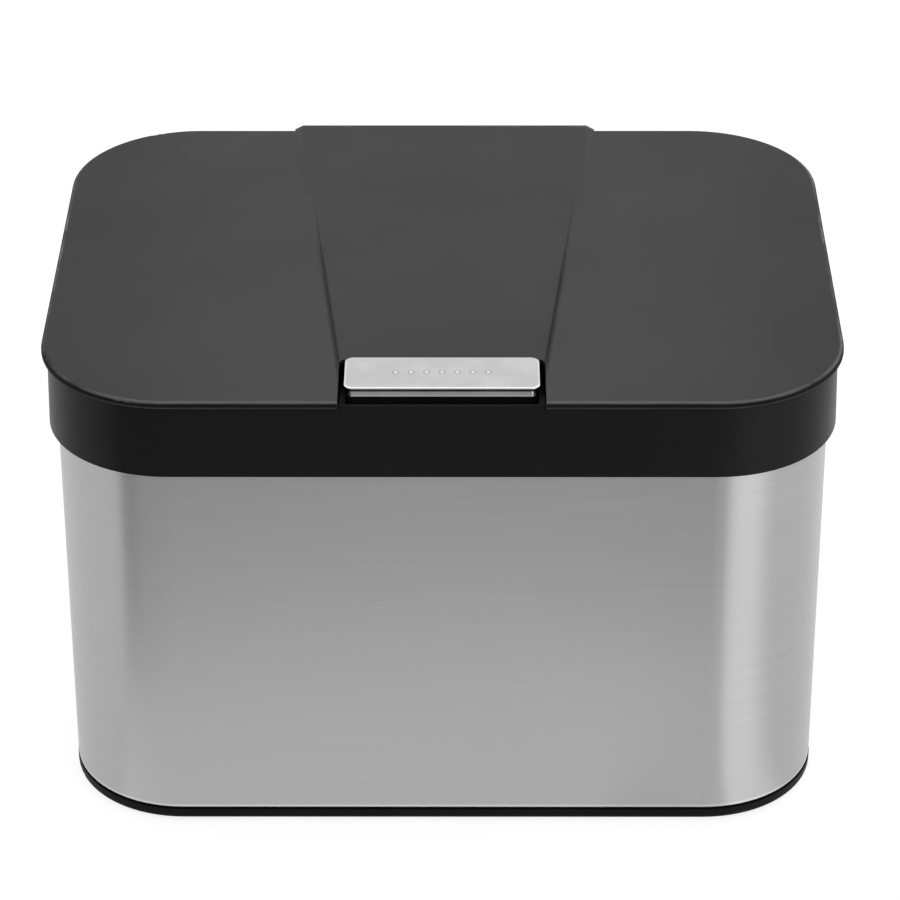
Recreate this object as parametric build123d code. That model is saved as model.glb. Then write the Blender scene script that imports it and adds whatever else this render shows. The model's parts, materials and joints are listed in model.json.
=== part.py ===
from build123d import *
import math
import os

# Push top countertop bin. Millimetres, +Z up, front (button side) towards -Y.
# The origin is on the table, under the middle of the lid's plan.

# ---- overall sizes ----
body_width = 264.0  # lid, side to side
body_depth = 201.2  # lid, front to back
body_height = 167.0  # table to the lid's flat top
corner_radius = 43.1  # plan corners of the lid
foot_lift = 0.6  # the rubber feet hold the base ring this far off the table

# ---- for making solids ----
over = 1.0  # cuts run this far past what they cut
weld = 0.5  # joined shapes run this far into each other
same = 0.01  # places closer than this are the same
wire_sides = 6  # flats round a wire

# ---- lid ----
lid_edge_height = 2.25
lid_edge_width = 2.4
lid_wall = 1.6
lid_edge_round = 1.6
lid_gap = 0.55  # dark line between lid and collar
rim_wall_height = 5.6  # inner wall of the lid, down into the throat
throat_slip = 1.0  # lid's inner wall to the throat
panel_shoulder = 0.5  # wedge panel wider than the notch, each side
panel_back_half = 51.7  # wedge panel, half width at the back edge
panel_rise = 1.6  # wedge panel above the lid at the back
panel_sink = 1.5  # wedge panel below the lid at the notch
panel_level_y = 48.0  # where the wedge panel is level with the lid
panel_side_slope = 2.9  # run of the raised panel's sloped sides
crease_side = 0.3  # top of the crease, outside the wedge panel's line
crease_lean = 28.0  # degrees from upright
crease_depth = 2.4  # the crease is cut this deep before the panel fills it
panel_thick_side = 1.5  # the panel's wall runs this far past its line
notch_side = 1.8  # cap to the notch, each side
notch_back = 0.1  # cap to the notch, at the back
notch_corner = 4.5
panel_over = 12.0  # the panel's curve is drawn this far past its ends
panel_room = 30.0  # height taken above or below the panel's curve
plan_over = 6.0  # the panel's plan is drawn this far past the lid's back
bulge_over = 0.2
belly_depth = 4.0  # the panel's underside is looked for this far below the lid
belly_skin = 0.3
belly_inset = 1.0  # the panel's underside stays this far inside the lid's edge
panel_thin_side = 1.5  # the hollow under the panel stops this far inside its line
hollow_low = 6.0
hollow_high = 3.0
lid_clear = 10.0
wall_bite = 0.2  # the lid's inner wall and bosses run this far into its plate
wall_skin = 0.6  # what is left of the panel over the inner wall
pilot_stop = 0.4  # screw holes stop this far below the plate
panel_lift = 0.2  # inner panel above the foot of the inner wall

# ---- collar ----
collar_height = 25.5
collar_top_inset = 1.9  # lid's edge to the collar's top edge
collar_bottom_inset = 1.3
collar_wall = 2.0
collar_edge_round = 1.1
throat_side = 9.0  # sleeve's inner face to the throat, sides and front
throat_back = 17.0  # the same at the back, where the hinge chamber is
throat_drop = 19.2  # height of the throat wall below the collar's top
bay_wall = 2.0
bay_behind = 9.1  # notch's back edge to the bay's back wall
bay_rim = 2.3  # collar rim left in front of the bay
bay_shelf_drop = 7.2  # collar's top to the shelf's top
bay_wall_drop = 1.2  # the bay's walls stop this far below the collar's top
bay_corner = 5.0  # plan rounding at the back of the bay
bay_mouth = 14.0  # plan rounding where the bay's sides meet the throat's front
bay_over = 10.0  # the bay's plan is drawn this far past the throat's front

# ---- sleeve ----
sleeve_inset = 4.16
sleeve_wall = 0.6
sleeve_slip = 0.2
sleeve_bottom = 5.0
sleeve_tuck = 13.3  # how far the sleeve runs up inside the collar
sleeve_flange = 8.0
sleeve_bend = 1.0
seam_width = 9.0
seam_bite = 0.1
seam_lift = 1.0  # the seam's lap starts this far above the floor pan's wall

# ---- base ----
ring_inset = 4.0
ring_lip = 1.3  # outer lip that makes the dark groove under the sleeve
ring_lip_drop = 0.4
ring_round = 1.8
ring_wall = 2.8
ring_land = 22.0
ring_plate = 1.8
pan_plate = 1.7
pan_wall = 1.6
pan_wall_height = 7.0
pan_slip = 0.4
rib_wall = 1.6
rib_depth = 3.6
rib_pitch = 40.0
boss_radius = 3.5
boss_height = 5.5
screw_inset = 17.0  # screws and feet, in from the lid's edge
screw_radius = 1.45
screw_slip = 0.1
head_radius = 3.0
head_height = 1.5
head_taper = 0.8  # share of a head's radius that is left at its outer face
base_screw_length = 8.6
foot_length = 26.0
foot_width = 9.0
foot_round = 4.4
foot_offset = 76.0
foot_inset = 14.9  # a foot's middle, in from the lid's edge
frame_slip = 0.5  # base ring to the ribs' frame
rib_stop = 1.0  # the ribs end this far inside the frame
boss_cap = 1.0  # what is left of a boss over its screw hole
base_screw_offset = 50.0

# ---- snap fingers between collar and sleeve ----
snap_width = 12.0
snap_wall = 1.8
snap_slip = 0.3
snap_z = 7.0  # window's middle below the sleeve's top edge
snap_height = 3.0
snap_offset = 72.0
snap_foot = 1.0  # finger below its barb
barb_inset = 0.1  # the barb's face inside the sleeve's outer face
barb_face = 0.8  # upright stretch at the barb's top

# ---- bucket ----
bucket_slip = 1.5  # bucket rim to the throat
bucket_wall = 1.8
bucket_rim = 2.4
bucket_rim_height = 2.2
bucket_draft = 2.0  # degrees
bucket_top_drop = 18.0  # collar's top to the bucket's rim
bucket_floor = 2.2
bucket_seat = 0.2
bucket_floor_round = 4.0
grip_length = 62.0
grip_reach = 13.0
grip_set = 1.0  # the ledges' ellipses are centred this far inside the rim
grip_inset = 0.5

# ---- button ----
cap_width = 63.4
cap_depth = 20.5
cap_front = 9.4  # lid's front edge to the cap's front face
cap_height = 4.0
cap_plate = 1.3
cap_bead = 0.45  # how far the cap's plate stands out over its foot
cap_waist = 0.95  # how far the cap's waist lies inside its foot
cap_foot = 0.6  # upright stretch at the cap's foot
cap_foot_round = 0.2
cap_proud = 0.2
cap_corner = 3.0
cap_rim_round = 0.5
cap_wall = 0.9
pip_count = 7
pip_radius = 0.9
pip_height = 0.35
pip_pitch = 5.0
pip_taper = 0.6
pip_bite = 0.1
button_travel = 3.0
press_gap = 0.1  # left under the guide legs at the end of the press
cap_core_slip = 0.15  # carrier's core to the inside of the cap
carrier_inset = 0.7
carrier_wall = 1.6
carrier_plate = 2.0
carrier_skirt = 7.2  # cap's underside to the carrier's front and back walls
carrier_leg_width = 5.0
carrier_leg_inset = 2.2
carrier_round = 2.0
carrier_peg = 1.5
well_slip = 0.4
well_wall = 1.6
well_floor_drop = 16.6  # cap's underside to the well's floor, inside
housing_slip = 0.3
housing_hole_back = 3.0
flange_plate = 1.4
flange_slip = 0.2
channel_back = 1.2
slot_depth = 4.0
wedge_width = 12.0
wedge_front = 9.6  # carrier's front to the wedge's front
wedge_back = 15.8
wedge_drop = 10.8  # cap's underside to the wedge's foot
wedge_flat = 3.0
ramp_gap = 0.1
spring_offset = 21.0
spring_radius = 3.0
spring_wire = 0.4
spring_turns = 4
spring_slip = 0.3  # spring to its pegs
spring_peg = 2.5

# ---- latch ----
slider_plate = 1.8
slider_width = 18.0
slider_slip = 0.2
slider_front = 5.1  # carrier's front to the slider's front
slider_top_drop = 7.8  # cap's underside to the ramp's top
tongue_width = 9.0
tongue_height = 1.6
tongue_plate = 0.5
tongue_lift = 2.8  # slider's plate to the tongue
tongue_reach = 0.6  # tongue past the catch
tongue_drop = 1.6
tongue_nose = 0.5
tongue_step = 1.0
upright_gap = 1.6  # slider's upright to the catch
upright_wall = 2.0
catch_width = 16.0
catch_wall = 2.0
catch_bar = 1.8
catch_floor_gap = 1.0
catch_behind = 5.2  # notch's back edge to the catch's back face
catch_foot = 1.6
catch_lip = 1.2  # catch's foot past the catch, front and back
catch_ear = 5.6  # catch's foot past the catch, each side
catch_slip = 0.6
catch_fit = 0.02
catch_round = 0.5
catch_side = 2.4  # bars beside the catch's window
catch_window = 3.0  # window above the tongue
catch_screw_side = 3.2
catch_screw_bite = 0.9
catch_pilot = 1.1
latch_spring_radius = 1.6
latch_spring_wire = 0.3
latch_spring_turns = 4
latch_spring_lift = 0.6

# ---- hinge ----
axis_back = 5.1  # lid's back edge to the hinge axis
axis_drop = 6.15  # lid's top to the hinge axis
pin_radius = 1.5
pin_slip = 0.05
pin_fit = 0.01
ear_wall = 3.1  # round the pin
ear_width = 4.0
knuckle_wall = 2.8  # round the pin
knuckle_width = 4.0
hinge_offset = 35.0
hinge_half_gap = 9.0
trough_slip = 0.9  # knuckle to the trough
trough_floor = 2.2
knuckle_slip = 0.4
relief_slip = 0.05
seat_back = 1.5  # hinge seat stops this far inside the collar's back face
back_wall = 1.4
back_bite = 0.4
swing_room = 12.0  # cleared beyond the axis for what swings there
knuckle_cut = 0.8  # the knuckles' backs are cut this deep
knuckle_cut_top = 3.2  # up to this far above the axis
pin_end_slip = 0.2
pin_chamfer = 0.3
torsion_side_slip = 0.4
torsion_wire = 0.45  # radius of the wire
torsion_slip = 0.4  # wire to the pin
torsion_turns = 5
torsion_half_turn = 0.5  # sets the two legs on opposite sides
torsion_rise = 16.7  # degrees, slope of the leg under the lid
torsion_top_leg = 7.0
torsion_low_leg = 4.0

# ---- damper gears ----
gear_module = 0.7
pressure_angle = 20.0
tooth_tip = 0.8  # teeth beyond the pitch circle, in modules
flank_points = 4
sector_teeth = 18  # on the full circle
sector_first = -1
sector_last = 5
pinion_teeth = 12
gear_width = 4.0
pinion_width = 6.0
gear_backlash = 0.12
pinion_slip = 0.4
sector_side = 1.2  # sector to its slot, each side
sector_slip = 0.5
tab_front = 4.0
tab_back = 3.2
tab_low = 1.0
tab_slip = 0.05
socket_slip = 0.1
socket_wall = 1.0
socket_front = 4.5
socket_low = 4.0
mesh_angle = 210.0  # direction of the pinion from the hinge axis, in the YZ plane
damper_radius = 5.0
damper_length = 11.0
damper_flange = 1.5
damper_lobe = 2.3
damper_screw_reach = 7.6
damper_shaft = 1.5
damper_slip = 0.2
damper_head_height = 1.2
shaft_reach = 6.0
shaft_bore = 7.0
web_foot = 2.5  # web below the throat wall
web_clear = 0.5
web_wall = 2.4
web_gap = 4.0  # middle plane to the damper's flange

# ---- lid furniture ----
panel_plate = 1.6
panel_slip = 0.3
panel_screw_radius = 1.2
panel_boss_radius = 3.0
panel_screw_length = 4.6
panel_head_radius = 2.4
small_head_radius = 2.0
small_head_height = 1.0
screw_fit = 0.02
panel_screw_side = 12.0  # throat's side to the outer screws
panel_screw_front = 22.0
panel_screw_back = 14.0
panel_screw_middle = 52.0
bumper_length = 14.0
bumper_width = 5.0
bumper_clear = 0.3
bumper_round = 2.0
bumper_share = 0.2  # side bumpers in front of the middle, as a share of half the depth

# ---- worked out from the above ----
half_w = body_width / 2
half_d = body_depth / 2
lid_top = body_height
lid_under = lid_top - lid_edge_height
plate_under = lid_top - lid_wall
collar_top = lid_under - lid_gap
collar_bottom = collar_top - collar_height
land_under = collar_top - collar_wall
skirt_inset = sleeve_inset - sleeve_slip
sleeve_in = sleeve_inset + sleeve_wall
sleeve_top = collar_bottom + sleeve_tuck
pan_bottom = sleeve_bottom + sleeve_wall
pan_top = pan_bottom + pan_plate
throat_bottom = collar_top - throat_drop
throat_half = half_w - sleeve_in - throat_side
throat_front = -half_d + sleeve_in + throat_side
throat_rear = half_d - sleeve_in - throat_back
throat_corner = corner_radius - sleeve_in - throat_side
notch_width = cap_width + 2 * notch_side
notch_depth = cap_front + cap_depth + notch_back
notch_y = -half_d + notch_depth
panel_front_half = notch_width / 2 + panel_shoulder
bay_half = notch_width / 2
bay_back_y = notch_y + bay_behind
bay_front_y = -half_d + collar_top_inset + bay_rim
shelf_top = collar_top - bay_shelf_drop
cap_top = lid_top + cap_proud
cap_under = cap_top - cap_height
cap_y = -half_d + cap_front + cap_depth / 2
carrier_front = cap_y - cap_depth / 2 + carrier_inset
carrier_back = cap_y + cap_depth / 2 - carrier_inset
carrier_half = cap_width / 2 - carrier_inset
well_floor = cap_under - well_floor_drop
carrier_leg = well_floor_drop - button_travel - press_gap
axis_y = half_d - axis_back
axis_z = lid_top - axis_drop
tongue_z = well_floor + slider_slip + slider_plate + tongue_lift
catch_back_y = notch_y + catch_behind
catch_front_y = catch_back_y - catch_wall
rim_z = collar_top - bucket_top_drop
bucket_bottom = pan_top + bucket_seat
inner_panel_top = plate_under - rim_wall_height + panel_lift + panel_plate
ear_radius = pin_radius + ear_wall
knuckle_radius = pin_radius + knuckle_wall
trough_radius = knuckle_radius + trough_slip
torsion_radius = pin_radius + torsion_slip + torsion_wire
ear_outside = hinge_half_gap + ear_width
gear_distance = gear_module * (sector_teeth + pinion_teeth) / 2
pinion_y = axis_y + gear_distance * math.cos(math.radians(mesh_angle))
pinion_z = axis_z + gear_distance * math.sin(math.radians(mesh_angle))


# ---- plan shapes and helpers ----
def outline(inset):
    """Rounded rectangle of the bin's plan, drawn in from the lid's edge."""
    return RectangleRounded(body_width - 2 * inset, body_depth - 2 * inset, corner_radius - inset)


def prism(sketch, low, high, taper=0.0):
    """A plan sketch raised between two heights."""
    return extrude(Pos(0, 0, low) * sketch, amount=high - low, taper=taper)


def block(x0, x1, y0, y1, z0, z1):
    """Box between two corners."""
    centre = Pos((x0 + x1) / 2, (y0 + y1) / 2, (z0 + z1) / 2)
    return centre * Box(x1 - x0, y1 - y0, z1 - z0)


def rod_x(radius, x0, x1, y, z):
    """Cylinder along X."""
    return Pos((x0 + x1) / 2, y, z) * Rot(0, 90, 0) * Cylinder(radius, x1 - x0)


def rod_z(radius, x, y, z0, z1):
    """Cylinder along Z."""
    return Pos(x, y, (z0 + z1) / 2) * Cylinder(radius, z1 - z0)


def side_profile(points, x0, x1):
    """Closed polygon of (y, z) points, extruded along X."""
    face = make_face(Polyline(*[(0, y, z) for y, z in points], close=True).edges())
    return extrude(face, amount=x1 - x0, dir=(1, 0, 0)).moved(Pos(x0, 0, 0))


def vertical_edges(shape):
    return shape.edges().filter_by(Axis.Z)


def throat_plan(inset):
    """The throat's plan: the body's rounded rectangle with the button bay taken out of its front."""
    depth = throat_rear - throat_front
    middle = Pos(0, (throat_rear + throat_front) / 2)
    field = middle * RectangleRounded(throat_half * 2, depth, throat_corner)
    bay_outer = bay_half + bay_wall
    bay_y = bay_back_y + bay_wall
    bay = Pos(0, (bay_y + throat_front) / 2 - bay_over) * Rectangle(
        2 * bay_outer, bay_y - throat_front + 2 * bay_over
    )
    plan = field - bay
    corners = plan.vertices().filter_by(lambda v: abs(abs(v.X) - bay_outer) < same)
    plan = fillet(corners.group_by(Axis.Y)[-1], bay_corner)
    corners = plan.vertices().filter_by(lambda v: abs(abs(v.X) - bay_outer) < same)
    plan = fillet(corners.group_by(Axis.Y)[0], bay_mouth)
    if inset == 0:
        return plan
    return offset(plan, amount=-inset, kind=Kind.ARC)


def panel_z(y):
    """Height of the wedge panel: a gentle curve through its heights at notch, level line and back."""
    near = notch_y - panel_level_y
    far = half_d - panel_level_y
    slope_near = -panel_sink / near
    slope_far = panel_rise / far
    curve = (slope_far - slope_near) / (far - near)
    along = y - panel_level_y
    return lid_top + along * (slope_near + curve * (along - near))


def beside_panel(drop, upwards):
    """Everything above or below the wedge panel's curved surface, lowered by drop."""
    spots = (notch_y - panel_over, panel_level_y, half_d + panel_over)
    points = [Vector(0, y, panel_z(y) - drop) for y in spots]
    far = Vector(0, 0, panel_room if upwards else -panel_room)
    arc = ThreePointArc(*points)
    edge_b = Line(points[2], points[2] + far)
    edge_c = Line(points[2] + far, points[0] + far)
    edge_d = Line(points[0] + far, points[0])
    face = make_face([arc, edge_b, edge_c, edge_d])
    return extrude(face, amount=body_width / 2, dir=(1, 0, 0), both=True)


def wedge_plan(grow, front=0.0):
    """Plan of the wedge panel, grown sideways."""
    rate = (panel_back_half - panel_front_half) / (half_d - notch_y)
    y0 = notch_y - front
    y1 = half_d + plan_over
    w0 = panel_front_half + grow + rate * (y0 - notch_y)
    w1 = panel_front_half + grow + rate * (y1 - notch_y)
    return make_face(Polyline((-w0, y0), (w0, y0), (w1, y1), (-w1, y1), close=True).edges())


def wedge_plan_prism():
    """The raised stretch of the wedge panel, as an upright prism."""
    return prism(wedge_plan(0, -panel_level_y + notch_y), lid_under - 2, lid_top + 2)


def gear_outline(teeth, first, last, start_angle):
    """Involute teeth first..last as (y, z) points, tooth 0 centred on start_angle degrees."""
    pitch = gear_module * teeth / 2
    base = pitch * math.cos(math.radians(pressure_angle))
    tip = pitch + tooth_tip * gear_module
    root = pitch - gear_module
    inv_pitch = math.tan(math.radians(pressure_angle)) - math.radians(pressure_angle)
    half_tooth = math.pi / (2 * teeth) - gear_backlash / 2 / pitch
    points = []
    for tooth in range(first, last + 1):
        centre = math.radians(start_angle) + tooth * 2 * math.pi / teeth
        flank = [(root, half_tooth + inv_pitch)]
        for step in range(flank_points):
            radius = max(base, root) + (tip - max(base, root)) * step / (flank_points - 1)
            pressure = math.acos(min(1.0, base / radius))
            flank.append((radius, half_tooth + inv_pitch - math.tan(pressure) + pressure))
        points += [(r * math.cos(centre - a), r * math.sin(centre - a)) for r, a in flank]
        points += [(r * math.cos(centre + a), r * math.sin(centre + a)) for r, a in reversed(flank)]
    return points


def coil(radius, wire, turns, height):
    """Compression spring standing on z = 0, with wire to wire height."""
    helix = Helix(pitch=(height - 2 * wire) / turns, height=height - 2 * wire, radius=radius)
    section = Plane(origin=helix @ 0, z_dir=helix % 0) * RegularPolygon(wire, wire_sides)
    return Pos(0, 0, wire) * sweep(section, path=helix, is_frenet=True)


# ---- base ----
def screw_places():
    near = half_d - screw_inset
    side = half_w - screw_inset
    rows = [(x, y) for x in (-base_screw_offset, base_screw_offset) for y in (-near, near)]
    return rows + [(-side, 0), (side, 0)]


def foot_places():
    near = half_d - foot_inset
    return {
        "foot_front_left": (-foot_offset, -near),
        "foot_front_right": (foot_offset, -near),
        "foot_rear_left": (-foot_offset, near),
        "foot_rear_right": (foot_offset, near),
    }


def make_base_ring():
    """Low ring under the sleeve: rounded foot, lip with a groove, and a channel underneath."""
    lip_top = sleeve_bottom - ring_lip_drop
    ring = prism(outline(ring_inset), foot_lift, lip_top)
    ring = fillet(ring.edges().group_by(Axis.Z)[0], ring_round)
    ring += prism(outline(ring_inset + ring_lip), lip_top - weld, sleeve_bottom)
    inner = ring_inset + ring_land
    ring -= prism(outline(inner), 0, sleeve_bottom + over)
    channel = outline(ring_inset + ring_wall) - outline(inner - ring_wall)
    ring -= prism(channel, foot_lift - over, sleeve_bottom - ring_plate)
    for x, y in screw_places():
        ring -= rod_z(screw_radius + screw_slip, x, y, 0, sleeve_bottom + over)
    return ring


def make_foot(x, y):
    """Rubber pad under the ring's plate."""
    pad = RectangleRounded(foot_length, foot_width, foot_round)
    foot = prism(pad, 0, sleeve_bottom - ring_plate)
    foot = fillet(foot.edges().group_by(Axis.Z)[0], foot_lift / 2)
    return Pos(x, y, 0) * foot


def make_floor_pan():
    """Floor with a stiffening wall round its edge, screw bosses above and ribs below."""
    edge = sleeve_in + pan_slip
    pan = prism(outline(edge), pan_bottom, pan_bottom + pan_wall_height)
    pan -= prism(outline(edge + pan_wall), pan_top, pan_bottom + pan_wall_height + over)
    field = ring_inset + ring_land + frame_slip
    frame = prism(outline(field) - outline(field + rib_wall), pan_bottom - rib_depth, pan_bottom)
    pan += frame
    span_x = half_w - field - rib_stop
    span_y = half_d - field - rib_stop
    low = pan_bottom - rib_depth
    for x in (-2 * rib_pitch, -rib_pitch, 0, rib_pitch, 2 * rib_pitch):
        pan += block(x - rib_wall / 2, x + rib_wall / 2, -span_y, span_y, low, pan_bottom)
    for y in (-rib_pitch, 0, rib_pitch):
        pan += block(-span_x, span_x, y - rib_wall / 2, y + rib_wall / 2, low, pan_bottom)
    for x, y in screw_places():
        pan += rod_z(boss_radius, x, y, pan_top - weld, pan_top + boss_height)
        pan -= rod_z(screw_radius, x, y, pan_bottom - over, pan_top + boss_height - boss_cap)
    return pan


def make_screw(radius, head, head_length, length):
    """Screw pointing up from z = 0, where its head seats."""
    shank = rod_z(radius, 0, 0, -head_length / 2, length)
    taper = Pos(0, 0, -head_length / 2) * Cone(head * head_taper, head, head_length)
    return shank + taper


def make_base_screws():
    screw = make_screw(screw_radius, head_radius, head_height, base_screw_length)
    seat = sleeve_bottom - ring_plate
    return Compound(children=[Pos(x, y, seat) * screw for x, y in screw_places()])


# ---- sleeve ----
def snap_stations():
    """Middle of each snap finger: plan position on the walls' middle line and the way it faces."""
    stations = []
    for x in (-snap_offset, snap_offset):
        stations += [(x, -half_d, 180), (x, half_d, 0)]
    return stations + [(-half_w, 0, 90), (half_w, 0, -90)]


def at_station(x, y, angle, shape):
    """Place a shape drawn with +Y pointing out of the wall and y = 0 on the lid's edge."""
    return Pos(x, y, 0) * Rot(0, 0, angle) * shape


def make_steel_sleeve():
    """Bent sheet wall with its foot folded inwards, a lapped seam at the back and snap windows."""
    shell = prism(outline(sleeve_inset), sleeve_bottom, sleeve_top)
    shell = fillet(shell.edges().group_by(Axis.Z)[0], sleeve_bend)
    inner = prism(outline(sleeve_in), sleeve_bottom + sleeve_wall, sleeve_top + over)
    inner = fillet(inner.edges().group_by(Axis.Z)[0], sleeve_bend - sleeve_wall)
    shell -= inner
    shell -= prism(outline(sleeve_inset + sleeve_flange), 0, sleeve_bottom + sleeve_wall + over)
    y_in = half_d - sleeve_in
    lap_bottom = pan_bottom + pan_wall_height + seam_lift
    half_seam = seam_width / 2
    shell += block(-half_seam, half_seam, y_in - sleeve_wall, y_in + seam_bite, lap_bottom, sleeve_top)
    z = sleeve_top - snap_z
    window = block(
        -snap_width / 2 - snap_slip, snap_width / 2 + snap_slip,
        -sleeve_in - over, -sleeve_inset + over,
        z - snap_height / 2 - snap_slip, z + snap_height / 2 + snap_slip,
    )
    for x, y, angle in snap_stations():
        shell -= at_station(x, y, angle, window)
    return shell


# ---- collar ----
def make_snap_finger():
    """Springy finger under the collar's land, its barb in the sleeve's window."""
    outer = -sleeve_in - snap_slip
    z = sleeve_top - snap_z
    half = snap_width / 2
    finger = block(-half, half, outer - snap_wall, outer, z - snap_height / 2 - snap_foot, land_under + weld)
    barb = side_profile(
        [
            (outer - weld, z + snap_height / 2),
            (-sleeve_inset - barb_inset, z + snap_height / 2),
            (-sleeve_inset - barb_inset, z + snap_height / 2 - barb_face),
            (outer, z - snap_height / 2),
            (outer - weld, z - snap_height / 2),
        ],
        -half, half,
    )
    return finger + barb


def hinge_sides():
    return [-hinge_offset, hinge_offset]


def make_hinge_seat(x):
    """Solid seat under one hinge, with two ears round the pin."""
    front = axis_y - trough_radius - trough_floor
    rear = half_d - collar_bottom_inset - seat_back
    low = axis_z - trough_radius - trough_floor
    seat = block(x - ear_outside, x + ear_outside, front, rear, low, land_under + weld)
    for side in (x - ear_outside, x + hinge_half_gap):
        seat += rod_x(ear_radius, side, side + ear_width, axis_y, axis_z)
        seat += block(side, side + ear_width, axis_y - ear_radius, axis_y, low + weld, axis_z)
    return seat


def hinge_trough(x):
    """Room for the lid's knuckles between the ears, open to the top and the back."""
    low = x - hinge_half_gap
    high = x + hinge_half_gap
    room = rod_x(trough_radius, low, high, axis_y, axis_z)
    room += block(low, high, axis_y - trough_radius, axis_y + swing_room, axis_z, axis_z + swing_room)
    room += block(low, high, axis_y, axis_y + swing_room, axis_z - trough_radius, axis_z + swing_room)
    return room


def hinge_relief():
    """What is cut off the collar's back top edge, beside the ears, for the lid's edge to swing past it."""
    radius = collar_top - axis_z + relief_slip
    relief = block(-half_w, half_w, axis_y, half_d + over, axis_z, lid_top)
    relief -= rod_x(radius, -half_w, half_w, axis_y, axis_z)
    for x in hinge_sides():
        relief -= block(
            x - ear_outside, x + ear_outside, axis_y - over, axis_y + ear_radius, axis_z - over, lid_top
        )
    return relief


def make_rim_collar():
    """Collar: drafted skirt over the sleeve, top land, throat wall, bay, hinge seats, snap fingers."""
    draft = math.degrees(math.atan((collar_top_inset - collar_bottom_inset) / collar_height))
    collar = prism(outline(collar_bottom_inset), collar_bottom, collar_top, draft)
    collar = fillet(collar.edges().group_by(Axis.Z)[-1], collar_edge_round)
    collar -= prism(outline(skirt_inset), collar_bottom - over, land_under)
    wall = throat_plan(-collar_wall)
    collar += prism(wall, throat_bottom, land_under + weld)
    shelf = block(
        -bay_half - over, bay_half + over, bay_front_y - over, bay_back_y + over,
        shelf_top - collar_wall, shelf_top,
    )
    tray = block(
        -bay_half - bay_wall, bay_half + bay_wall, bay_front_y - over, bay_back_y + bay_wall,
        shelf_top - collar_wall, land_under + weld,
    )
    collar += tray
    collar -= block(-bay_half, bay_half, bay_front_y, bay_back_y, shelf_top, collar_top + over)
    collar -= block(
        -bay_half - bay_wall, bay_half + bay_wall, throat_front, bay_back_y + bay_wall + over,
        collar_top - bay_wall_drop, collar_top + over,
    )
    collar += shelf
    for x in hinge_sides():
        collar += make_hinge_seat(x)
    collar += make_damper_web()
    collar -= prism(throat_plan(0), throat_bottom - over, collar_top + over)
    collar -= housing_hole()
    collar -= hinge_relief()
    for x in hinge_sides():
        collar -= hinge_trough(x)
        collar -= rod_x(pin_radius + pin_fit, x - ear_outside - over, x + ear_outside + over, axis_y, axis_z)
    collar -= sector_slot()
    for x, y, angle in snap_stations():
        collar += at_station(x, y, angle, make_snap_finger())
    return collar


# ---- damper ----
def sector_slot():
    """Slot in the collar that the toothed sector swings through."""
    half = gear_width / 2 + sector_side
    reach = gear_module * sector_teeth / 2 + gear_module + sector_slip
    slot = rod_x(reach, -half, half, axis_y, axis_z)
    slot += block(-half, half, axis_y - reach, axis_y + swing_room, axis_z, axis_z + swing_room)
    slot += block(-half, half, axis_y, axis_y + swing_room, axis_z - reach, axis_z + swing_room)
    return slot


def damper_screw_places():
    return [(pinion_y + damper_screw_reach, pinion_z), (pinion_y, pinion_z - damper_screw_reach)]


def make_damper_web():
    """Upright web across the hinge chamber that the damper is screwed to."""
    x0 = web_gap + damper_flange
    x1 = x0 + web_wall
    rear = half_d - skirt_inset + weld
    web = block(x0, x1, throat_rear + weld, rear, throat_bottom - web_foot, land_under + weld)
    web -= block(
        x0 - over, x1 + over, half_d - sleeve_in - snap_slip, rear + over,
        throat_bottom - web_foot - over, sleeve_top + web_clear,
    )
    web -= rod_x(damper_radius + damper_slip, x0 - over, x1 + over, pinion_y, pinion_z)
    for y, z in damper_screw_places():
        web -= rod_x(panel_screw_radius, x0 - over, x1 + over, y, z)
    return web


def make_damper_body():
    """Closed damper can with a two-lobed flange and a blind bore for the pinion's shaft."""
    body = rod_x(damper_radius, web_gap, web_gap + damper_length, pinion_y, pinion_z)
    for y, z in damper_screw_places():
        body += rod_x(damper_lobe, web_gap, web_gap + damper_flange, y, z)
        middle_y = (y + pinion_y) / 2
        middle_z = (z + pinion_z) / 2
        reach_y = abs(y - pinion_y) / 2 + (damper_lobe if y == pinion_y else 0)
        reach_z = abs(z - pinion_z) / 2 + (damper_lobe if z == pinion_z else 0)
        body += block(
            web_gap, web_gap + damper_flange,
            middle_y - reach_y, middle_y + reach_y, middle_z - reach_z, middle_z + reach_z,
        )
    for y, z in damper_screw_places():
        body -= rod_x(panel_screw_radius + screw_slip, web_gap - over, web_gap + damper_flange + over, y, z)
    body -= rod_x(damper_shaft + pin_slip, web_gap - over, web_gap + shaft_bore, pinion_y, pinion_z)
    return body


def make_damper_screws():
    length = damper_flange + web_wall
    screw = make_screw(panel_screw_radius - screw_fit, small_head_radius, damper_head_height, length)
    turned = Rot(0, 90, 0) * screw
    return Compound(children=[Pos(web_gap, y, z) * turned for y, z in damper_screw_places()])


def make_pinion():
    """Twelve-tooth pinion with its shaft."""
    start = mesh_angle + 180 + 180 / pinion_teeth
    points = gear_outline(pinion_teeth, 0, pinion_teeth - 1, start)
    x0 = web_gap - pinion_slip - pinion_width
    gear = side_profile([(pinion_y + y, pinion_z + z) for y, z in points], x0, x0 + pinion_width)
    gear += rod_x(damper_shaft, x0, web_gap + shaft_reach, pinion_y, pinion_z)
    return gear


def make_sector():
    """Toothed sector on the lid, with a tab that plugs into the lid's socket."""
    half = gear_width / 2
    teeth = gear_outline(sector_teeth, sector_first, sector_last, mesh_angle)
    points = [(axis_y + y, axis_z + z) for y, z in teeth]
    top = panel_z(axis_y - tab_front) - lid_wall - tab_slip
    points += [(axis_y + tab_back, axis_z - tab_low), (axis_y + tab_back, top), (axis_y - tab_front, top)]
    return side_profile(points, -half, half)


# ---- hinge pins and springs ----
def make_pin(x):
    """Steel pin with rounded ends through both ears."""
    reach = ear_outside - pin_end_slip
    pin = rod_x(pin_radius, x - reach, x + reach, axis_y, axis_z)
    return chamfer(pin.edges().filter_by(GeomType.CIRCLE), pin_chamfer)


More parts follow.
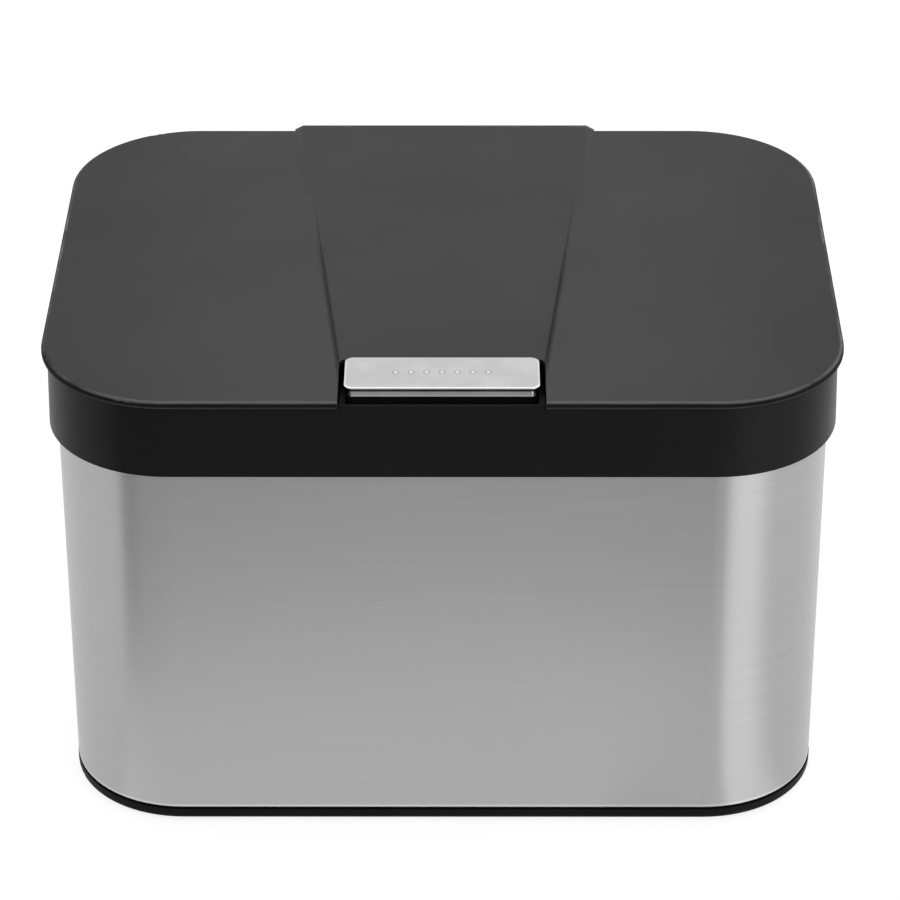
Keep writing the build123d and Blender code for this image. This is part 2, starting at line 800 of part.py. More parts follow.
def make_torsion_spring(x):
    """Coil round the pin with one leg under the lid and one in the trough."""
    room = 2 * (hinge_half_gap - knuckle_slip - knuckle_width - torsion_side_slip)
    length = room - 2 * torsion_wire
    turns = torsion_turns + torsion_half_turn - torsion_rise / 360
    helix = Helix(pitch=length / turns, height=length, radius=torsion_radius)
    low_end = Plane(origin=helix @ 0, z_dir=helix % 0) * RegularPolygon(torsion_wire, wire_sides)
    top_end = Plane(origin=helix @ 1, z_dir=helix % 1) * RegularPolygon(torsion_wire, wire_sides)
    wound = sweep(low_end, path=helix, is_frenet=True)
    wound += extrude(low_end, amount=-torsion_low_leg)
    wound += extrude(top_end, amount=torsion_top_leg)
    return Pos(x, axis_y, axis_z) * Rot(0, 90, 0) * Pos(0, 0, -length / 2) * wound


# ---- lid ----
def make_lid_shell():
    """Lid: flat plate with a deeper edge, curved wedge panel, notch, inner wall, knuckles, bosses."""
    lid = prism(outline(0), lid_under, lid_top)
    lid = fillet(lid.edges().group_by(Axis.Z)[-1], lid_edge_round)
    lid -= prism(outline(lid_edge_width), lid_under - over, plate_under)
    slope = math.degrees(math.atan(panel_side_slope / panel_rise))
    bulge = prism(wedge_plan(panel_side_slope), lid_top - same, lid_top + panel_rise + bulge_over, slope)
    bulge += prism(wedge_plan(panel_side_slope, -panel_level_y + notch_y), lid_top - over, lid_top)
    bulge = bulge & beside_panel(0, False)
    bulge = bulge & prism(outline(0), lid_under, lid_top + lid_clear)
    lid += bulge
    belly = prism(wedge_plan(panel_thick_side), lid_under - belly_depth, lid_top - belly_skin)
    belly = belly & beside_panel(lid_wall, True)
    lid += belly & prism(outline(belly_inset), lid_under - belly_depth - over, lid_top)
    cavity = prism(wedge_plan(-panel_thin_side), lid_under - hollow_low, lid_top + hollow_high)
    cavity = cavity & beside_panel(lid_wall, False)
    rear_limit = half_d - back_wall
    lid -= cavity & block(
        -half_w, half_w, notch_y, rear_limit, lid_under - hollow_low, lid_top + hollow_high
    )
    lid += make_lid_inside()
    crease_run = crease_depth * math.tan(math.radians(crease_lean))
    sink = prism(wedge_plan(crease_side - crease_run), lid_top - crease_depth, lid_top, -crease_lean)
    lid -= sink & beside_panel(0, True)
    for x, y in catch_screw_places():
        lid -= rod_z(panel_screw_radius, x, y, catch_top() - over, catch_top() + catch_pilot)
    notch = Pos(0, notch_y - notch_depth) * Rectangle(notch_width, 2 * notch_depth)
    notch = fillet(notch.vertices().group_by(Axis.Y)[-1], notch_corner)
    lid -= prism(notch, lid_under - lid_clear, lid_top + over)
    return lid


def panel_screw_places():
    x0 = throat_half - panel_screw_side
    x1 = panel_screw_middle
    y0 = throat_front + panel_screw_front
    y1 = throat_rear - panel_screw_back
    return [(-x0, y0), (x0, y0), (-x0, y1), (x0, y1), (-x1, y1), (x1, y1)]


def catch_screw_places():
    x = catch_width / 2 + catch_screw_side
    y = catch_back_y - catch_wall / 2
    return [(-x, y), (x, y)]


def catch_top():
    """Where the catch's foot meets the underside of the wedge panel."""
    return panel_z(catch_front_y - catch_lip) - lid_wall - catch_fit


def make_lid_inside():
    """What hangs under the lid's plate: inner wall, screw bosses, knuckles and the sector's socket."""
    low = plate_under - rim_wall_height
    ring = throat_plan(throat_slip) - throat_plan(throat_slip + lid_wall)
    inside = prism(ring, low, plate_under + wall_bite)
    inside += prism(ring, plate_under, lid_top + over) & wedge_plan_prism() & beside_panel(wall_skin, False)
    boss_low = inner_panel_top
    for x, y in panel_screw_places():
        inside += rod_z(panel_boss_radius, x, y, boss_low, plate_under + wall_bite)
        inside -= rod_z(panel_screw_radius, x, y, boss_low - over, plate_under - pilot_stop)
    for x in hinge_sides():
        inner = hinge_half_gap - knuckle_slip
        for x0 in (x - inner, x + inner - knuckle_width):
            knuckle = rod_x(knuckle_radius, x0, x0 + knuckle_width, axis_y, axis_z)
            knuckle += block(
                x0, x0 + knuckle_width, axis_y - knuckle_radius, half_d - back_wall + back_bite,
                axis_z, lid_top + weld,
            )
            knuckle -= block(
                x0 - over, x0 + knuckle_width + over, axis_y + knuckle_radius - knuckle_cut, half_d + over,
                axis_z - knuckle_radius - over, axis_z + knuckle_cut_top,
            )
            bore = rod_x(pin_radius + pin_slip, x0 - over, x0 + knuckle_width + over, axis_y, axis_z)
            inside += knuckle - bore
    socket_gap = gear_width / 2 + socket_slip
    for side in (-1, 1):
        x0 = side * socket_gap
        x1 = side * (socket_gap + socket_wall)
        inside += block(
            min(x0, x1), max(x0, x1), axis_y - socket_front, half_d - back_wall + back_bite,
            axis_z + socket_low, lid_top + weld,
        )
    return inside


def make_lid_inner_panel():
    """Smooth cover inside the lid's inner wall, screwed to its bosses."""
    low = inner_panel_top - panel_plate
    panel = prism(throat_plan(throat_slip + lid_wall + panel_slip), low, inner_panel_top)
    for x, y in panel_screw_places():
        panel -= rod_z(panel_screw_radius + screw_slip, x, y, low - over, inner_panel_top + over)
    return panel


def make_panel_screws():
    radius = panel_screw_radius - screw_fit
    screw = make_screw(radius, panel_head_radius, small_head_height, panel_screw_length)
    low = inner_panel_top - panel_plate
    return Compound(children=[Pos(x, y, low) * screw for x, y in panel_screw_places()])


def make_lid_catch():
    """Windowed catch that hangs from the wedge panel behind the notch."""
    top = catch_top()
    low = well_floor + catch_floor_gap
    half = catch_width / 2
    catch = block(-half, half, catch_front_y, catch_back_y, low, top)
    catch = fillet(vertical_edges(catch), catch_round)
    window_top = tongue_z + tongue_height + catch_window
    catch -= block(
        -half + catch_side, half - catch_side, catch_front_y - over, catch_back_y + over,
        low + catch_bar, window_top,
    )
    catch += block(
        -half - catch_ear, half + catch_ear, catch_front_y - catch_lip, catch_back_y + catch_lip,
        top - catch_foot, top,
    )
    for x, y in catch_screw_places():
        catch -= rod_z(panel_screw_radius + screw_slip, x, y, top - catch_foot - over, top + over)
    return catch


def make_catch_screws():
    screw = make_screw(
        panel_screw_radius - screw_fit, small_head_radius, small_head_height, catch_foot + catch_screw_bite
    )
    low = catch_top() - catch_foot
    return Compound(children=[Pos(x, y, low) * screw for x, y in catch_screw_places()])


def make_lid_bumpers():
    """Rubber pads under the lid's plate, over the collar's land."""
    low = collar_top + bumper_clear
    pad = prism(RectangleRounded(bumper_length, bumper_width, bumper_round), low, plate_under)
    reach = (collar_top_inset + sleeve_in + throat_side) / 2
    spots = [(x, -half_d + reach, 0) for x in (-snap_offset, snap_offset)]
    spots += [(x, -bumper_share * half_d, 90) for x in (-half_w + reach, half_w - reach)]
    return Compound(children=[Pos(x, y, 0) * Rot(0, 0, a) * pad for x, y, a in spots])


# ---- button ----
def housing_hole():
    """Opening in the bay's shelf for the button's well."""
    half = carrier_half + well_slip + well_wall + housing_slip
    return block(
        -half, half, carrier_front - well_slip - well_wall - housing_slip, catch_back_y + housing_hole_back,
        shelf_top - collar_wall - over, shelf_top + over,
    )


def make_button_housing():
    """Well that guides the button, with a flange on the bay's shelf and a channel for the slider."""
    half = carrier_half + well_slip
    y0 = carrier_front - well_slip
    y1 = carrier_back + well_slip
    top = shelf_top + flange_plate
    channel = slider_width / 2 + slider_slip
    back = catch_back_y + channel_back
    floor = well_floor - well_wall
    house = block(-half - well_wall, half + well_wall, y0 - well_wall, y1 + well_wall, floor, top)
    house += block(-channel - well_wall, channel + well_wall, y1, back + well_wall, floor, top)
    house += block(
        -bay_half + flange_slip, bay_half - flange_slip, bay_front_y + flange_slip, bay_back_y - flange_slip,
        shelf_top, top,
    )
    house -= block(-half, half, y0, y1, well_floor, top + over)
    house -= block(-channel, channel, y0, back, well_floor, top - flange_plate)
    slot = catch_width / 2 + catch_ear + catch_slip
    house -= block(-slot, slot, catch_front_y - upright_gap, back, shelf_top - slot_depth, top + over)
    for x in (-spring_offset, spring_offset):
        house += rod_z(
            spring_radius - spring_wire - spring_slip, x, cap_y, well_floor - weld, well_floor + spring_peg
        )
    return house


def cap_plan(inset):
    """The cap's plan, drawn in from its edge."""
    corner = cap_corner - min(inset, cap_corner / 2)
    return RectangleRounded(cap_width - 2 * inset, cap_depth - 2 * inset, corner)


def make_button_cap():
    """Plated cap: rounded plate, a waist, a skirt that flares to its foot, and a row of round pips."""
    plate = prism(cap_plan(0), cap_top - cap_plate, cap_top)
    plate = fillet(plate.edges().group_by(Axis.Z)[-1], cap_rim_round)
    flare_top = cap_top - cap_plate
    foot_top = cap_under + cap_foot
    flare = math.degrees(math.atan(cap_waist / (flare_top - foot_top)))
    skirt = prism(cap_plan(cap_bead), cap_under, foot_top)
    skirt = fillet(skirt.edges().group_by(Axis.Z)[0], cap_foot_round)
    skirt += prism(cap_plan(cap_bead), foot_top, flare_top, flare)
    cap = plate + skirt
    cap -= prism(cap_plan(cap_bead + cap_waist + cap_wall), cap_under - over, cap_top - cap_plate)
    cap = Pos(0, cap_y, 0) * cap
    for index in range(pip_count):
        x = (index - (pip_count - 1) / 2) * pip_pitch
        pip = Cone(pip_radius, pip_radius * pip_taper, pip_height + pip_bite)
        cap += Pos(x, cap_y, cap_top - pip_bite) * pip
    return cap


def make_button_carrier():
    """Black frame under the cap: plate, guide legs, short walls and the 45 degree wedge."""
    half = carrier_half
    y0 = carrier_front
    y1 = carrier_back
    carrier = block(-half, half, y0, y1, cap_under - carrier_skirt, cap_under)
    carrier = fillet(vertical_edges(carrier), carrier_round)
    core = cap_plan(cap_bead + cap_waist + cap_wall + cap_core_slip)
    carrier += Pos(0, cap_y, 0) * prism(core, cap_under - over, cap_top - cap_plate)
    carrier -= block(
        -half + carrier_wall, half - carrier_wall, y0 + carrier_wall, y1 - carrier_wall,
        cap_under - carrier_skirt - over, cap_under - carrier_plate,
    )
    for x in (-half, half - carrier_leg_width):
        carrier += block(
            x, x + carrier_leg_width, y0 + carrier_leg_inset, y1 - carrier_leg_inset,
            cap_under - carrier_leg, cap_under - weld,
        )
    carrier += make_wedge()
    for x in (-spring_offset, spring_offset):
        carrier += rod_z(
            spring_radius - spring_wire - spring_slip, x, cap_y,
            cap_under - carrier_plate - carrier_peg, cap_under - carrier_plate + weld,
        )
    return carrier


def make_wedge():
    """Wedge under the carrier: its 45 degree face draws the slider forward."""
    front = carrier_front + wedge_front
    back = carrier_front + wedge_back
    low = cap_under - wedge_drop
    return side_profile(
        [
            (front, cap_under - over), (back, cap_under - over), (back, low),
            (front + wedge_flat, low), (front, low + wedge_flat),
        ],
        -wedge_width / 2, wedge_width / 2,
    )


def make_latch_slider():
    """Slider under the button: ramp in front of the wedge, plate, and the tongue's upright."""
    front = carrier_front + slider_front
    low = well_floor + slider_slip
    top = cap_under - slider_top_drop
    plate_top = low + slider_plate
    ramp_sum = carrier_front + wedge_front + cap_under - wedge_drop + wedge_flat - ramp_gap * math.sqrt(2)
    upright_back = catch_front_y - upright_gap
    upright_front = upright_back - upright_wall
    half = slider_width / 2
    slider = side_profile(
        [
            (front, low), (upright_back, low), (upright_back, tongue_z + tongue_height),
            (upright_front, tongue_z + tongue_height), (upright_front, plate_top),
            (ramp_sum - plate_top, plate_top), (ramp_sum - top, top), (front, top),
        ],
        -half, half,
    )
    return slider


def make_latch_tongue():
    """Bent spring steel tongue on the slider's upright, reaching through the catch's window."""
    y0 = catch_front_y - upright_gap
    y1 = catch_back_y + tongue_reach
    half = tongue_width / 2
    z = tongue_z
    return side_profile(
        [
            (y0, z - tongue_drop), (y0 + tongue_plate, z - tongue_drop), (y0 + tongue_plate, z),
            (y1, z), (y1, z + tongue_nose), (y0 + tongue_plate + tongue_step, z + tongue_height),
            (y0, z + tongue_height),
        ],
        -half, half,
    )


def make_button_spring(x):
    height = cap_under - carrier_plate - well_floor
    return Pos(x, cap_y, well_floor) * coil(spring_radius, spring_wire, spring_turns, height)


def make_latch_spring():
    """Small compression spring between the well's front wall and the slider."""
    y0 = carrier_front - well_slip
    y1 = carrier_front + slider_front
    spring = coil(latch_spring_radius, latch_spring_wire, latch_spring_turns, y1 - y0)
    z = well_floor + slider_slip + latch_spring_radius + latch_spring_wire + latch_spring_lift
    return Pos(0, y0, z) * Rot(-90, 0, 0) * spring


# ---- bucket ----
def make_inner_bucket():
    """Drafted bucket that follows the throat's plan, with a rim and a finger ledge at each end."""
    top_plan = throat_plan(bucket_slip + bucket_rim)
    deep = rim_z - bucket_bottom
    body = extrude(Pos(0, 0, rim_z) * top_plan, amount=-deep, taper=bucket_draft)
    body = fillet(body.edges().group_by(Axis.Z)[0], bucket_floor_round)
    hollow_plan = throat_plan(bucket_slip + bucket_rim + bucket_wall)
    hollow = extrude(Pos(0, 0, rim_z) * hollow_plan, amount=-(deep - bucket_floor), taper=bucket_draft)
    hollow = fillet(hollow.edges().group_by(Axis.Z)[0], bucket_floor_round - bucket_wall)
    rim = prism(throat_plan(bucket_slip), rim_z - bucket_rim_height, rim_z)
    ledges = Sketch()
    reach = throat_half - bucket_slip
    for side in (-1, 1):
        ledges += Pos(side * (reach - grip_set), 0) * Ellipse(grip_reach, grip_length / 2)
    ledge = prism(ledges & throat_plan(bucket_slip + grip_inset), rim_z - bucket_rim_height, rim_z)
    bucket = body + rim - hollow
    bucket -= prism(hollow_plan, rim_z - bucket_rim_height - over, rim_z + over)
    return bucket + ledge


def main():
    pieces = {
        "base_ring": make_base_ring(),
        "floor_pan": make_floor_pan(),
        "base_screws": make_base_screws(),
        "steel_sleeve": make_steel_sleeve(),
        "rim_collar": make_rim_collar(),
        "button_housing": make_button_housing(),
        "button_cap": make_button_cap(),
        "button_carrier": make_button_carrier(),
        "button_spring_left": make_button_spring(-spring_offset),
        "button_spring_right": make_button_spring(spring_offset),
        "latch_slider": make_latch_slider(),
        "latch_tongue": make_latch_tongue(),
        "latch_spring": make_latch_spring(),
        "lid_shell": make_lid_shell(),
        "lid_inner_panel": make_lid_inner_panel(),
        "panel_screws": make_panel_screws(),
        "lid_catch": make_lid_catch(),
        "catch_screws": make_catch_screws(),
        "lid_bumpers": make_lid_bumpers(),
        "hinge_pin_left": make_pin(-hinge_offset),
        "hinge_pin_right": make_pin(hinge_offset),
        "hinge_spring_left": make_torsion_spring(-hinge_offset),
        "hinge_spring_right": make_torsion_spring(hinge_offset),
        "damper_sector": make_sector(),
        "damper_pinion": make_pinion(),
        "damper_body": make_damper_body(),
        "damper_screws": make_damper_screws(),
        "inner_bucket": make_inner_bucket(),
    }
    for name, (x, y) in foot_places().items():
        pieces[name] = make_foot(x, y)
    os.makedirs("parts", exist_ok=True)
    for name, piece in pieces.items():
        export_step(piece, f"parts/{name}.step")


main()
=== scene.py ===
import json
import math
import bpy
import bmesh
import numpy as np
from mathutils import Matrix, Vector


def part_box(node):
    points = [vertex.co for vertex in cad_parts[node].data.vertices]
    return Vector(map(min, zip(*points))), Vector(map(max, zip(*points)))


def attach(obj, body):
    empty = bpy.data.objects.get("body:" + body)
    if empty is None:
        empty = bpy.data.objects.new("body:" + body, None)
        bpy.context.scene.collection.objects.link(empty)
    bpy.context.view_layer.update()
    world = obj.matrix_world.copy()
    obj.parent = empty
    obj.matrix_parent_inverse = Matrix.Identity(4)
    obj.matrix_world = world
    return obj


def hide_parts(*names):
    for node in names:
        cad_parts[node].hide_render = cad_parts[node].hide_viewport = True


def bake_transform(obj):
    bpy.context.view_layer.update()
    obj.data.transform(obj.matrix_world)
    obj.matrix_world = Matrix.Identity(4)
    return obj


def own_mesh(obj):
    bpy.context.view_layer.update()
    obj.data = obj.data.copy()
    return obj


# Push top countertop bin: looks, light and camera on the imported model, in metres.
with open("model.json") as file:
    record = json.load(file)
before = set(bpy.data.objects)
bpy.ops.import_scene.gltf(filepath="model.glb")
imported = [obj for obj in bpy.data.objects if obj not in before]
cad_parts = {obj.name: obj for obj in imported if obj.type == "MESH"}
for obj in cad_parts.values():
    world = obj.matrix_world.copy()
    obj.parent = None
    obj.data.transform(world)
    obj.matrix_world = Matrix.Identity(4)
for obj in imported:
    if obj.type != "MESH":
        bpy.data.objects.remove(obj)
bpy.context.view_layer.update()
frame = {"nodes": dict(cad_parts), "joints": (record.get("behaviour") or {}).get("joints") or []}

MM = 0.001
MICRON = 0.000001
TURN = 2 * math.pi
WHITE = (1.0, 1.0, 1.0, 1.0)
DUST_TINT = (1.0, 0.98, 0.94)
LID_LIP = 0.1649  # height of the lid's lower edge
COLLAR_LEDGE = 0.1640  # the collar is matt above this height, under the lid's edge
CREASE_ENDS = ((34.3, -70.6), (52.0, 100.6))  # where the right crease starts and ends, in mm
CORNER_CENTRE = (0.089, -0.0575)  # what the right front corner is rounded about
PIP_PITCH = 0.005  # spacing of the push pad's pips
PIPS_HALF = 3.5 * PIP_PITCH  # half the length of their row of seven
HINGE_STATION = 0.035  # how far the two hinge springs stand from the middle
SEAM = 0.1 * MICRON  # points nearer than this are one


def joint_place(name):
    """Where a joint's axis lies, as an array."""
    return np.array(next(j["pos_m"] for j in frame["joints"] if j["name"] == name))


def node_box(node):
    """A CAD node's lowest and highest corner at rest, as arrays."""
    return tuple(np.array(corner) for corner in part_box(node))


# ---- node helpers ----
def feed(tree, made, feeds):
    """Link each feed that is a socket and set each one that is a value."""
    for key, value in feeds.items():
        if isinstance(value, bpy.types.NodeSocket):
            tree.links.new(value, made.inputs[key])
        else:
            made.inputs[key].default_value = value
    return made


def add_node(tree, kind, feeds=None, **options):
    """Put a shader node in a tree, with its options and feeds."""
    made = tree.nodes.new("ShaderNode" + kind)
    for name, value in options.items():
        setattr(made, name, value)
    return feed(tree, made, feeds or {})


def maths(tree, operation, first, second=0.0, third=0.0, clamp=False):
    """One Math node's result; the third value counts only where a product is added to it."""
    feeds = {0: first, 1: second}
    if operation == "MULTIPLY_ADD":
        feeds[2] = third
    return add_node(tree, "Math", feeds, operation=operation, use_clamp=clamp).outputs[0]


def product(tree, first, *others):
    """Values multiplied together."""
    for other in others:
        first = maths(tree, "MULTIPLY", first, other)
    return first


def added(tree, value, mask, amount):
    """A value with an amount added where the mask is."""
    return maths(tree, "MULTIPLY_ADD", mask, amount, value)


def remap(tree, value, low, high, to_low=0.0, to_high=1.0, smooth=True):
    """A value's stretch low..high laid onto to_low..to_high, held at both ends."""
    feeds = {0: value, 1: low, 2: high, 3: to_low, 4: to_high}
    kind = "SMOOTHSTEP" if smooth else "LINEAR"
    return add_node(tree, "MapRange", feeds, interpolation_type=kind).outputs[0]


def spread(tree, pattern, to_low=0.0, to_high=1.0):
    """A noise's usual stretch, 0.3 to 0.7, laid onto to_low..to_high."""
    return remap(tree, pattern, 0.3, 0.7, to_low, to_high)


def fade(tree, value, low, high, top=1.0):
    """Mask that is at its top up to low and gone at high."""
    return remap(tree, value, low, high, top, 0.0)


def band(tree, distance, inner, outer, top=1.0):
    """Mask beside a line: at its top within inner of it, gone past outer, on both sides."""
    return fade(tree, maths(tree, "ABSOLUTE", distance), inner, outer, top)


def mix_colour(tree, share, under, over):
    """Two colours mixed by a share."""
    feeds = {0: share, 6: under, 7: over}
    return add_node(tree, "Mix", feeds, data_type="RGBA", blend_type="MIX").outputs[2]


def layered(tree, body, *layers):
    """A colour with others laid over it in turn, each by its mask."""
    for mask, colour in layers:
        body = mix_colour(tree, mask, body, colour)
    return body


def axes(tree, point):
    """A point's three coordinates."""
    return add_node(tree, "SeparateXYZ", {0: point}).outputs


def vector_maths(tree, operation, feeds, result=0):
    """One Vector Math node's result."""
    return add_node(tree, "VectorMath", feeds, operation=operation).outputs[result]


def noise(tree, point, scale, detail=2.0, rough=0.5):
    """Cloudy pattern of 0..1; scale is how many clouds go on a metre."""
    feeds = {"Vector": point, "Scale": scale, "Detail": detail, "Roughness": rough}
    return add_node(tree, "TexNoise", feeds).outputs[0]


def stretched(tree, point, x, y, z, turn=(0.0, 0.0, 0.0)):
    """The point scaled by its own amount along each axis, after a turn."""
    feeds = {"Vector": point, "Scale": (x, y, z), "Rotation": turn}
    return add_node(tree, "Mapping", feeds, vector_type="POINT").outputs[0]


def object_point(tree):
    return tree.nodes.new("ShaderNodeTexCoord").outputs["Object"]


def new_effect(name, inputs, outputs):
    """An empty shader node group with named sockets; returns it with its inner two ends."""
    kinds = {"value": "NodeSocketFloat", "vector": "NodeSocketVector"}
    group = bpy.data.node_groups.new(name, "ShaderNodeTree")
    for label, kind, start in inputs:
        socket = group.interface.new_socket(label, in_out="INPUT", socket_type=kinds[kind])
        if start is not None:
            socket.default_value = start
    for label in outputs:
        group.interface.new_socket(label, in_out="OUTPUT", socket_type=kinds["value"])
    given = group.nodes.new("NodeGroupInput").outputs
    return group, given, group.nodes.new("NodeGroupOutput").inputs


def effect(tree, group, feeds):
    """Place a node group in a material with its own values."""
    made = tree.nodes.new("ShaderNodeGroup")
    made.node_tree = group
    return feed(tree, made, feeds).outputs


# ---- effects that several finishes share ----
POINT = ("Point", "vector", None)


def make_moulded_grain():
    """Fine spark-eroded texture of a moulding tool, with a slow mottle for the colour."""
    group, given, result = new_effect(
        "moulded grain", [POINT, ("Scale", "value", 1500.0)], ["Height", "Mottle"]
    )
    fine = noise(group, given["Point"], given["Scale"], 3.0, 0.6)
    slow = noise(group, given["Point"], product(group, given["Scale"], 0.02), 4.0, 0.55)
    group.links.new(fine, result["Height"])
    group.links.new(spread(group, slow), result["Mottle"])
    return group


def make_plan_inset():
    """How far a point lies inside a rounded rectangle's outline, in metres, seen from above.
    It is the corner's radius less the distance past the rectangle that joins the corners'
    centres; the starting values are the lid's."""
    sizes = [("Half Width", "value", 0.132), ("Half Depth", "value", 0.1006)]
    group, given, result = new_effect(
        "plan inset", [POINT, *sizes, ("Corner", "value", 0.0431)], ["Inset"]
    )
    part = axes(group, given["Point"])
    sides = []
    for axis, half in ((0, "Half Width"), (1, "Half Depth")):
        straight = maths(group, "SUBTRACT", given[half], given["Corner"])
        sides.append(maths(group, "SUBTRACT", maths(group, "ABSOLUTE", part[axis]), straight))
    outer = [maths(group, "POWER", maths(group, "MAXIMUM", side, 0.0), 2.0) for side in sides]
    reach = maths(group, "SQRT", maths(group, "ADD", outer[0], outer[1]))
    inner = maths(group, "MINIMUM", maths(group, "MAXIMUM", sides[0], sides[1]), 0.0)
    past = maths(group, "ADD", reach, inner)
    group.links.new(maths(group, "SUBTRACT", given["Corner"], past), result["Inset"])
    return group


def make_edge_wear_and_highlight():
    """Mask of a band beside an edge, broken up into patches, used for handling polish and for
    painted highlights.
    """
    sizes = [("Distance", "value", 0.0), ("Band", "value", 0.002), ("Patch", "value", 60.0)]
    group, given, result = new_effect("edge wear and highlight", [POINT, *sizes], ["Mask"])
    away = maths(group, "ABSOLUTE", given["Distance"])
    share = maths(group, "DIVIDE", away, given["Band"])
    near = maths(group, "SUBTRACT", 1.0, share, clamp=True)
    cloud = noise(group, given["Point"], given["Patch"], 5.0, 0.62)
    group.links.new(product(group, near, remap(group, cloud, 0.42, 0.66)), result["Mask"])
    return group


def make_brush_lines():
    """Level brushing round a wall: long fine streaks that change quickly with height."""
    group, given, result = new_effect(
        "brush lines", [POINT, ("Fineness", "value", 1.0)], ["Streak", "Height"]
    )
    scaled = vector_maths(group, "SCALE", {0: given["Point"], "Scale": given["Fineness"]})
    fine = noise(group, stretched(group, scaled, 22.0, 22.0, 3600.0), 1.0, 2.0, 0.7)
    long = noise(group, stretched(group, scaled, 5.0, 5.0, 900.0), 1.0, 3.0, 0.65)
    both = added(group, product(group, long, 0.4), fine, 0.6)
    group.links.new(remap(group, both, 0.34, 0.66, smooth=False), result["Streak"])
    group.links.new(fine, result["Height"])
    return group


def make_hair_scratches():
    """Mask of a few hair-thin scratches in two directions."""
    group, given, result = new_effect(
        "hair scratches", [POINT, ("Density", "value", 0.5)], ["Mask"]
    )
    found = []
    for turn, patch_scale in ((0.6, 30.0), (2.1, 33.0)):
        point = stretched(group, given["Point"], 24.0, 1500.0, 24.0, (0.0, 0.0, turn))
        line = remap(group, noise(group, point, 1.0, 1.0, 0.4), 0.70, 0.76)
        patch = remap(group, noise(group, given["Point"], patch_scale), 0.5, 0.62)
        found.append(product(group, line, patch))
    both = maths(group, "MAXIMUM", found[0], found[1])
    group.links.new(product(group, both, given["Density"]), result["Mask"])
    return group


def make_settled_dust():
    """Mask of faint dust on faces that look up, thicker in slow patches."""
    group, given, result = new_effect("settled dust", [POINT, ("Amount", "value", 0.1)], ["Mask"])
    facing = axes(group, add_node(group, "NewGeometry").outputs["Normal"])["Z"]
    upward = remap(group, facing, 0.6, 1.0)
    patches = remap(group, noise(group, given["Point"], 14.0, 5.0, 0.6), 0.35, 0.75)
    specks = remap(group, noise(group, given["Point"], 2600.0, 1.0, 0.4), 0.62, 0.74)
    cover = maths(group, "MULTIPLY_ADD", specks, 0.7, 0.3)
    shown = product(group, upward, patches, cover, given["Amount"])
    group.links.new(shown, result["Mask"])
    return group


grain = make_moulded_grain()
plan_inset = make_plan_inset()
edge_wear_and_highlight = make_edge_wear_and_highlight()
brush_lines = make_brush_lines()
hair_scratches = make_hair_scratches()
settled_dust = make_settled_dust()


# ---- finishes ----
def blank_material(name):
    """A material with only its output; returns it, its tree and the output's surface socket."""
    material = bpy.data.materials.new(name)
    material.use_nodes = True
    tree = material.node_tree
    tree.nodes.clear()
    return material, tree, tree.nodes.new("ShaderNodeOutputMaterial").inputs[0]


def new_finish(name, **surface):
    """A material with its Principled surface; plain values go on the shader's own sockets."""
    material, tree, shown = blank_material(name)
    shader = tree.nodes.new("ShaderNodeBsdfPrincipled")
    tree.links.new(shader.outputs[0], shown)
    for key, value in surface.items():
        shader.inputs[key.replace("_", " ")].default_value = value
    return material, tree, shader.inputs, object_point(tree)


def dress(tree, sockets, colour, roughness, height, depth):
    """Link a surface's colour and roughness, and bump from a height worth depth metres."""
    tree.links.new(colour, sockets["Base Color"])
    tree.links.new(roughness, sockets["Roughness"])
    feeds = {"Height": height, "Distance": depth, "Strength": 1.0}
    tree.links.new(add_node(tree, "Bump", feeds).outputs[0], sockets["Normal"])


def grey(value, tint=(1.0, 1.0, 1.0)):
    return (value * tint[0], value * tint[1], value * tint[2], 1.0)


def moulding(
    name, level, rough, grains, depth, specular=0.5, dust=0.0, tint=(1.0, 1.0, 1.03),
    matt_from=1.0,
):
    """Moulded plastic of a grey level: textured skin with so many grains to a metre and a
    depth, slow mottle in colour and gloss, a few scratches, a little dust, and matt above a
    height."""
    material, tree, sockets, point = new_finish(name, Specular_IOR_Level=specular)
    skin = effect(tree, grain, {"Point": point, "Scale": grains})
    scratches = effect(tree, hair_scratches, {"Point": point, "Density": 0.35})["Mask"]
    settled = effect(tree, settled_dust, {"Point": point, "Amount": dust})["Mask"]
    body = layered(
        tree, grey(level * 0.9, tint),
        (skin["Mottle"], grey(level * 1.1, tint)),
        (scratches, grey(level * 2.2, tint)),
        (settled, grey(0.28, DUST_TINT)),
    )
    shine = remap(tree, skin["Mottle"], 0.0, 1.0, rough - 0.02, rough + 0.03)
    shine = added(tree, shine, settled, 0.4)
    matt = remap(tree, axes(tree, point)["Z"], matt_from - 1.0 * MM, matt_from, 0.0, 0.5)
    dress(tree, sockets, body, maths(tree, "ADD", shine, matt), skin["Height"], depth)
    return material


def crease_shade(tree, place):
    """Masks of the wedge panel: painted shade, also matt, along its two creases, in a band round
    each straight line that is gone towards the hinge, and the panel between them."""
    near, far = np.array(CREASE_ENDS) * MM
    along = (far - near) / np.linalg.norm(far - near)
    off_x = maths(tree, "SUBTRACT", maths(tree, "ABSOLUTE", place["X"]), near[0])
    off_y = maths(tree, "SUBTRACT", place["Y"], near[1])
    across = product(tree, off_x, along[1])
    aside = maths(tree, "SUBTRACT", across, product(tree, off_y, along[0]))
    # painted shade along each crease, faded out towards the hinge
    hollow_shade = band(tree, aside, 0.25 * MM, 1.4 * MM, top=0.64)
    fold_shade = product(tree, hollow_shade, fade(tree, place["Y"], -0.022, 0.028))
    return fold_shade, fade(tree, aside, -0.3 * MM, 0.3 * MM)


